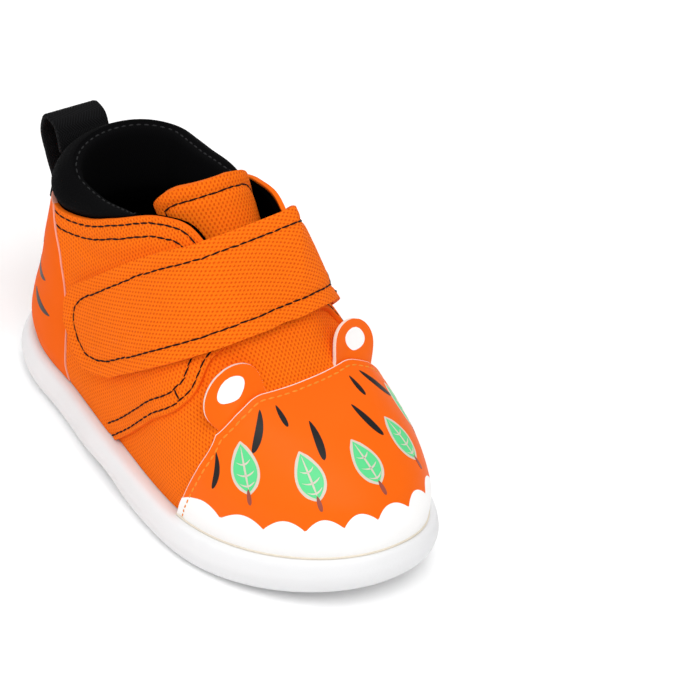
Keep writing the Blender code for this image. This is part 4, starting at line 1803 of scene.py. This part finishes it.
@dataclass
class Strap:
    """Canvas strap over the throat: sewn to the inner side, closed on the outer side."""

    last: Last
    thread: Stitching
    middle: float = 3.2
    edge_size: tuple[float, float] = (2.3, 0.95)
    lengths: int = 60
    bridge: int = 32
    across: int = 34
    reach: float = 0.3
    evening: int = 40
    held: int = 16
    corner_passes: int = 36
    seam: float = 4.3
    anchor_rows: int = 32
    anchor_seam: float = 2.0
    bar_margin: int = 4
    trough: tuple[float, float] = (0.55, 1.1)
    threads: Triple = (1.0, 0.0, -0.6)
    top_rear: float = 2.0
    top_front: float = 20.3
    outer: tuple[StrapRow, ...] = (
        StrapRow(Spot(-1.0, 78.7), Spot(19.75, 60.7)),
        StrapRow(Spot(-5.5, 75.0), Spot(16.9, 57.2)),
        StrapRow(Spot(-10.0, 71.2), Spot(13.6, 53.0)),
        StrapRow(Spot(-20.5, 61.4), Spot(5.0, 46.2)),
        StrapRow(Spot(-29.0, 52.8), Spot(-5.5, 37.4)),
        StrapRow(Spot(-35.3, 46.0), Spot(-15.5, 29.8)),
        StrapRow(Spot(-37.5, 40.0), Spot(-25.0, 26.5)),
        StrapRow(Spot(-36.8, 34.5), Spot(-31.0, 29.0)),
    )
    inner: tuple[StrapRow, ...] = (
        StrapRow(Spot(-0.6, 78.7), Spot(19.7, 60.9)),
        StrapRow(Spot(-4.4, 75.0), Spot(16.9, 58.0)),
        StrapRow(Spot(-8.0, 71.2), Spot(13.0, 53.0)),
        StrapRow(Spot(-15.0, 60.8), Spot(7.0, 45.2)),
        StrapRow(Spot(-19.5, 52.0), Spot(0.5, 39.0)),
        StrapRow(Spot(-20.0, 46.0), Spot(-6.5, 36.5)),
        StrapRow(Spot(-17.5, 42.0), Spot(-11.5, 38.0)),
    )

    def half(self, rows: Sequence[StrapRow], side: Side) -> Array:
        """Turns and shares of the strap on one side, from its end up to the top line."""
        edges = []
        for top, spots in zip((self.top_rear, self.top_front), zip(*rows)):
            end = (float(self.last.turn_at(top, 1.0, side)), 1.0)
            edges.append(through([*self.last.on_side(spots[::-1], side), end], self.lengths))
        return ruled(*edges, self.across)

    def points(self) -> Array:
        """Outer side of the whole strap, from its free end to its sewn end."""
        halves = [self.half(self.outer, Side.OUTER), self.half(self.inner, Side.INNER)]
        outer, inner = (self.last.lay(half, self.middle) for half in halves)
        leave, arrive = (unit(side[-1] - side[-3]) for side in (outer, inner))
        span = np.linalg.norm(inner[-1] - outer[-1], axis=1)[:, None] * self.reach
        places = np.linspace(0.0, 1.0, self.bridge + 2)[1:-1]
        arch = [hermite(s, outer[-1], inner[-1], span * leave, -span * arrive) for s in places]
        middle = np.concatenate((outer, np.array(arch), inner[::-1]))
        middle = drawn_straight(middle, self.evening, self.held)
        return middle + 0.5 * self.edge_size[0] * lie(middle)

    def build(self) -> None:
        """Model the strap, sew it and settle it."""
        points = self.points()
        plain = Surface(points)
        loop = rounded(plain.inset(plain.rim(), self.seam), self.corner_passes)
        anchor = points[-self.anchor_rows:]
        second = plain.inset(three_edges(anchor), self.anchor_seam)
        bar = anchor[0, self.bar_margin:-self.bar_margin]
        surface = self.thread.sew(points, [loop], self.trough)
        for row in (second, bar):
            self.thread.row(surface, row)
        canvas_piece("closing_strap", surface.points, self.threads, self.edge_size, "strap")


@dataclass
class PullLoop:
    """Webbing folded into a loop behind the heel."""

    last: Last
    width: float = 17.2
    aside: float = -0.8
    skew: float = 0.07
    thickness: float = 1.4
    rounding: float = 0.35
    lengths: int = 72
    across: int = 16
    route: tuple[Spot, ...] = (
        Spot(-68.4, 48.0),
        Spot(-67.8, 54.0),
        Spot(-71.8, 61.4),
        Spot(-75.0, 68.0),
        Spot(-74.3, 71.2),
        Spot(-71.9, 70.8),
        Spot(-69.6, 67.4),
        Spot(-68.4, 64.4),
    )

    def build(self) -> None:
        """Model the loop and settle it."""
        route = through(self.route, self.lengths + 1)
        lean = unit(np.gradient(route, axis=0))
        outer = route + 0.5 * self.thickness * np.stack((-lean[:, 1], lean[:, 0]), axis=1)
        y = self.aside + np.linspace(-0.5, 0.5, self.across + 1)[None, :] * self.width
        x = outer[:, :1] + 0.0 * y
        z = outer[:, 1:] - self.skew * y
        points = np.stack((x, y + 0.0 * x, z), axis=-1) + np.array(self.last.shift)
        obj = sheet("pull_loop_webbing", points)
        weld(obj)
        with editing(obj):
            bpy.ops.mesh.flip_normals()
        thicken(obj, self.thickness, self.rounding)
        settle(obj, (WEBBING,), ("pull_loop",))


@dataclass
class EarTab:
    """Rounded tab of coated sheet that stands up from the cap's rear seam."""

    seams: Seams
    side: Side
    start: float
    end: float
    height: float
    out: float
    back: float = 0.60
    thickness: float = 1.1
    neck: float = 0.9
    bulge: float = 0.98
    widest: float = 0.42
    setback: float = 0.014
    seat: float = 1.1
    tuck: float = 0.09
    top: float = 0.995
    steps: int = 32
    seam_points: int = 40
    inset_width: float = 0.48
    inset_least: float = 0.01
    inset_lean: float = 1.2
    inset_power: float = 0.55
    inset_levels: tuple[float, float] = (0.16, 0.8)

    def base(self, q: Array) -> Array:
        """Places behind the cap's seam, q from -1 at the tab's start to 1 at its end."""
        last = self.seams.last
        outer, inner = (self.seams.cap_side(side, self.seam_points) for side in Side)
        seam = np.concatenate((outer[:-1], self.seams.cap_top(2 * self.seam_points), inner[-2::-1]))
        across = last.skin(seam[:, 0], seam[:, 1])[:, 1]
        y = 0.5 * (self.start + self.end) + 0.5 * (self.end - self.start) * q
        turn, share = (np.interp(self.side.value * y, across, seam[:, k]) for k in (0, 1))
        return last.at(turn, share + self.setback, self.seat)

    def points(self, reach: Array, level: Array) -> Array:
        """Sheet that stands on the base and flattens towards its top.

        Args:
            reach: Half width of each row, as a share of the base's half width.
            level: Height of each row, as a share of the tab's height.

        Returns:
            Grid of places that faces forwards.
        """
        lean = unit(np.array((-self.back, self.side.value * self.out, 1.0)))
        ends = self.base(np.array((-1.0, 1.0)))
        middle = 0.5 * (ends[1] + ends[0])
        chord = 0.5 * (ends[1] - ends[0])
        q = np.linspace(-1.0, 1.0, self.steps + 1)[None, :] * reach[:, None]
        within = np.clip(q, -1.0, 1.0)
        sag = self.base(within) - middle - within[..., None] * chord
        rise = level[:, None, None]
        curl = (1.0 - np.maximum(rise, 0.0)) ** 2
        grid = middle + q[..., None] * chord + curl * sag + self.height * rise * lean
        return grid[:, ::-1] if self.side is Side.OUTER else grid

    def build(self) -> None:
        """Model the tab with its white inset and settle both."""
        name = f"{self.side.name.lower()}_ear_tab"
        front = unit(np.array((1.0, 0.0, self.back)))
        level = self.top * np.sin(0.5 * math.pi * np.linspace(-self.tuck, 1.0, self.steps + 1))
        full = np.sin(0.5 * math.pi * np.clip(level / self.widest, 0.0, 1.0))
        swell = self.neck + (self.bulge - self.neck) * full
        beyond = np.maximum(level - self.widest, 0.0) / (1.0 - self.widest)
        outline = swell * np.sqrt(1.0 - beyond ** 2)
        face = self.points(outline, level) + front * self.thickness / 2
        coated_piece(f"{name}_sheet", face, self.thickness, name)
        share = np.linspace(0.0, 1.0, self.steps + 1)
        arch = np.maximum(np.sin(math.pi * share ** self.inset_lean), 0.0) ** self.inset_power
        drop = self.inset_width * arch + self.inset_least
        low, high = self.inset_levels
        film = self.points(drop, low + (high - low) * share) + front * (self.thickness / 2 + LOW_PRINT)
        printed(f"{name}_print", [film], WHITE_INK)


@dataclass
class BondLine:
    """Thin bead of cement between the toe cap and the sole."""

    seams: Seams
    radius: float = 0.38
    offset: float = 1.75
    columns: int = 140
    sides: int = 8

    def build(self) -> None:
        """Model the bead and settle it."""
        ends = [self.seams.foot(self.seams.cap_foot, side)[0] for side in Side]
        turn = np.linspace(ends[0], ends[1], self.columns + 1)
        path = self.seams.last.at(turn, 0.0, self.offset)
        lead = unit(np.gradient(path, axis=0))
        up = np.array((0.0, 0.0, 1.0))
        side = unit(np.cross(lead, up))
        ring = np.linspace(0.0, 2.0 * math.pi, self.sides + 1)[:, None, None]
        points = path + self.radius * (np.cos(ring) * side + np.sin(ring) * np.cross(side, lead))
        obj = sheet("cement_line", points)
        weld(obj, fill=True)
        settle(obj, (GLUE,))


class Lamp(NamedTuple):
    """Soft square lamp: its place and side in metres and its power in watts."""

    name: str
    place: Triple
    size: float
    power: float

    def hang(self) -> None:
        """Make the lamp, aimed at the shoe."""
        data = bpy.data.lights.new(self.name, "AREA")
        data.size = self.size
        data.energy = self.power
        obj = bpy.data.objects.new(self.name, data)
        obj.location = self.place
        obj.rotation_mode = "QUATERNION"
        obj.rotation_quaternion = (-Vector(self.place)).to_track_quat("-Z", "Y")
        bpy.context.collection.objects.link(obj)


@dataclass
class Studio:
    """Pale floor, soft light and the camera."""

    last: Last
    target: Triple = (19.2, 28.3, 40.0)
    distance: float = 1320.0
    azimuth: float = 47.3
    elevation: float = 37.6
    roll: float = 7.5
    focal_pixels: float = 4845.0
    picture: float = 700.0
    sensor: float = 36.0
    farthest: float = 50.0
    floor_size: float = 8.0
    ambient: float = 0.46
    lamps: tuple[Lamp, ...] = (
        Lamp("key_light", (0.9, -0.3, 1.6), 1.2, 20.0),
        Lamp("fill_light", (-0.3, -1.4, 1.2), 2.0, 11.0),
        Lamp("back_light", (-1.0, 0.7, 1.3), 1.0, 7.0),
    )

    def camera(self) -> None:
        """Make the camera at the photograph's angle to the shoe."""
        az, el, roll = (math.radians(v) for v in (self.azimuth, self.elevation, self.roll))
        back = Vector((math.sin(az) * math.cos(el), -math.cos(az) * math.cos(el), math.sin(el)))
        right = Vector((math.cos(az), math.sin(az), 0.0))
        up = back.cross(right)
        turned_right = math.cos(roll) * right + math.sin(roll) * up
        turned_up = -math.sin(roll) * right + math.cos(roll) * up
        data = bpy.data.cameras.new("camera")
        data.sensor_width = self.sensor
        data.lens = self.focal_pixels / self.picture * self.sensor
        data.clip_end = self.farthest
        place = (Vector(self.target) + Vector(self.last.shift) + self.distance * back) * MM
        obj = bpy.data.objects.new("camera", data)
        turn = Matrix((turned_right, turned_up, back)).transposed()
        obj.matrix_world = Matrix.Translation(place) @ turn.to_4x4()
        bpy.context.collection.objects.link(obj)
        bpy.context.scene.camera = obj

    def build(self) -> None:
        """Make floor, light and camera."""
        bpy.ops.object.select_all(action="DESELECT")
        bpy.ops.mesh.primitive_plane_add(size=self.floor_size)
        floor = bpy.context.active_object
        floor.name = "studio_floor"
        floor.data.materials.append(PAPER.make())
        world = bpy.data.worlds.new("studio_air")
        world.use_nodes = True
        air = world.node_tree.nodes["Background"]
        air.inputs["Color"].default_value = (1.0, 1.0, 1.0, 1.0)
        air.inputs["Strength"].default_value = self.ambient
        bpy.context.scene.world = world
        for lamp in self.lamps:
            lamp.hang()
        bpy.context.scene.view_settings.view_transform = "Standard"
        self.camera()


def frame_shift() -> Triple:
    """Shift from the frame of the size tables to the shoe's own frame, in millimetres."""
    low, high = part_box("outsole")
    sole = Sole(Last(), columns=64)
    table = sole.ring(*min(sole.side))
    middle = 0.5 * (table.min(axis=0) + table.max(axis=0))
    found = [0.5 * (low[k] + high[k]) / MM - middle[k] for k in (0, 1)]
    return found[0], found[1], 0.0


def main() -> None:
    """Build the shoe piece by piece."""
    logging.basicConfig(level=logging.INFO, format="%(message)s")
    last = Last(shift=frame_shift())
    LOG.info("shift %s", last.shift)
    seams = Seams(last)
    Studio(last).build()
    dark = Stitching("black_stitching", THREAD, "canvas")
    bright = Stitching("toe_cap_stitching", CAP_THREAD, "coated_sheet", 2.4, 2.0, 0.55, sink=0.05)
    soft = Stitching("collar_stitching", COLLAR_THREAD, "jersey", 2.2, 1.5, 0.5)
    cap = ToeCap(seams, bright)
    Sole(last).build()
    Footbed(last).build()
    Lining(last).build()
    Vamp(seams).build()
    for side in Side:
        Quarter(seams, side, dark).build()
    cap.build()
    cap.print_on()
    HeelCounter(seams).build()
    Collar(last, soft).build()
    Tongue(last, dark).build()
    Strap(last, dark).build()
    PullLoop(last).build()
    EarTab(seams, Side.OUTER, 10.0, 25.5, 12.2, out=0.34).build()
    EarTab(seams, Side.INNER, 12.6, 26.3, 12.0, out=0.45).build()
    BondLine(seams).build()
    for thread in (dark, bright, soft):
        thread.build()


if __name__ == "__main__":
    main()
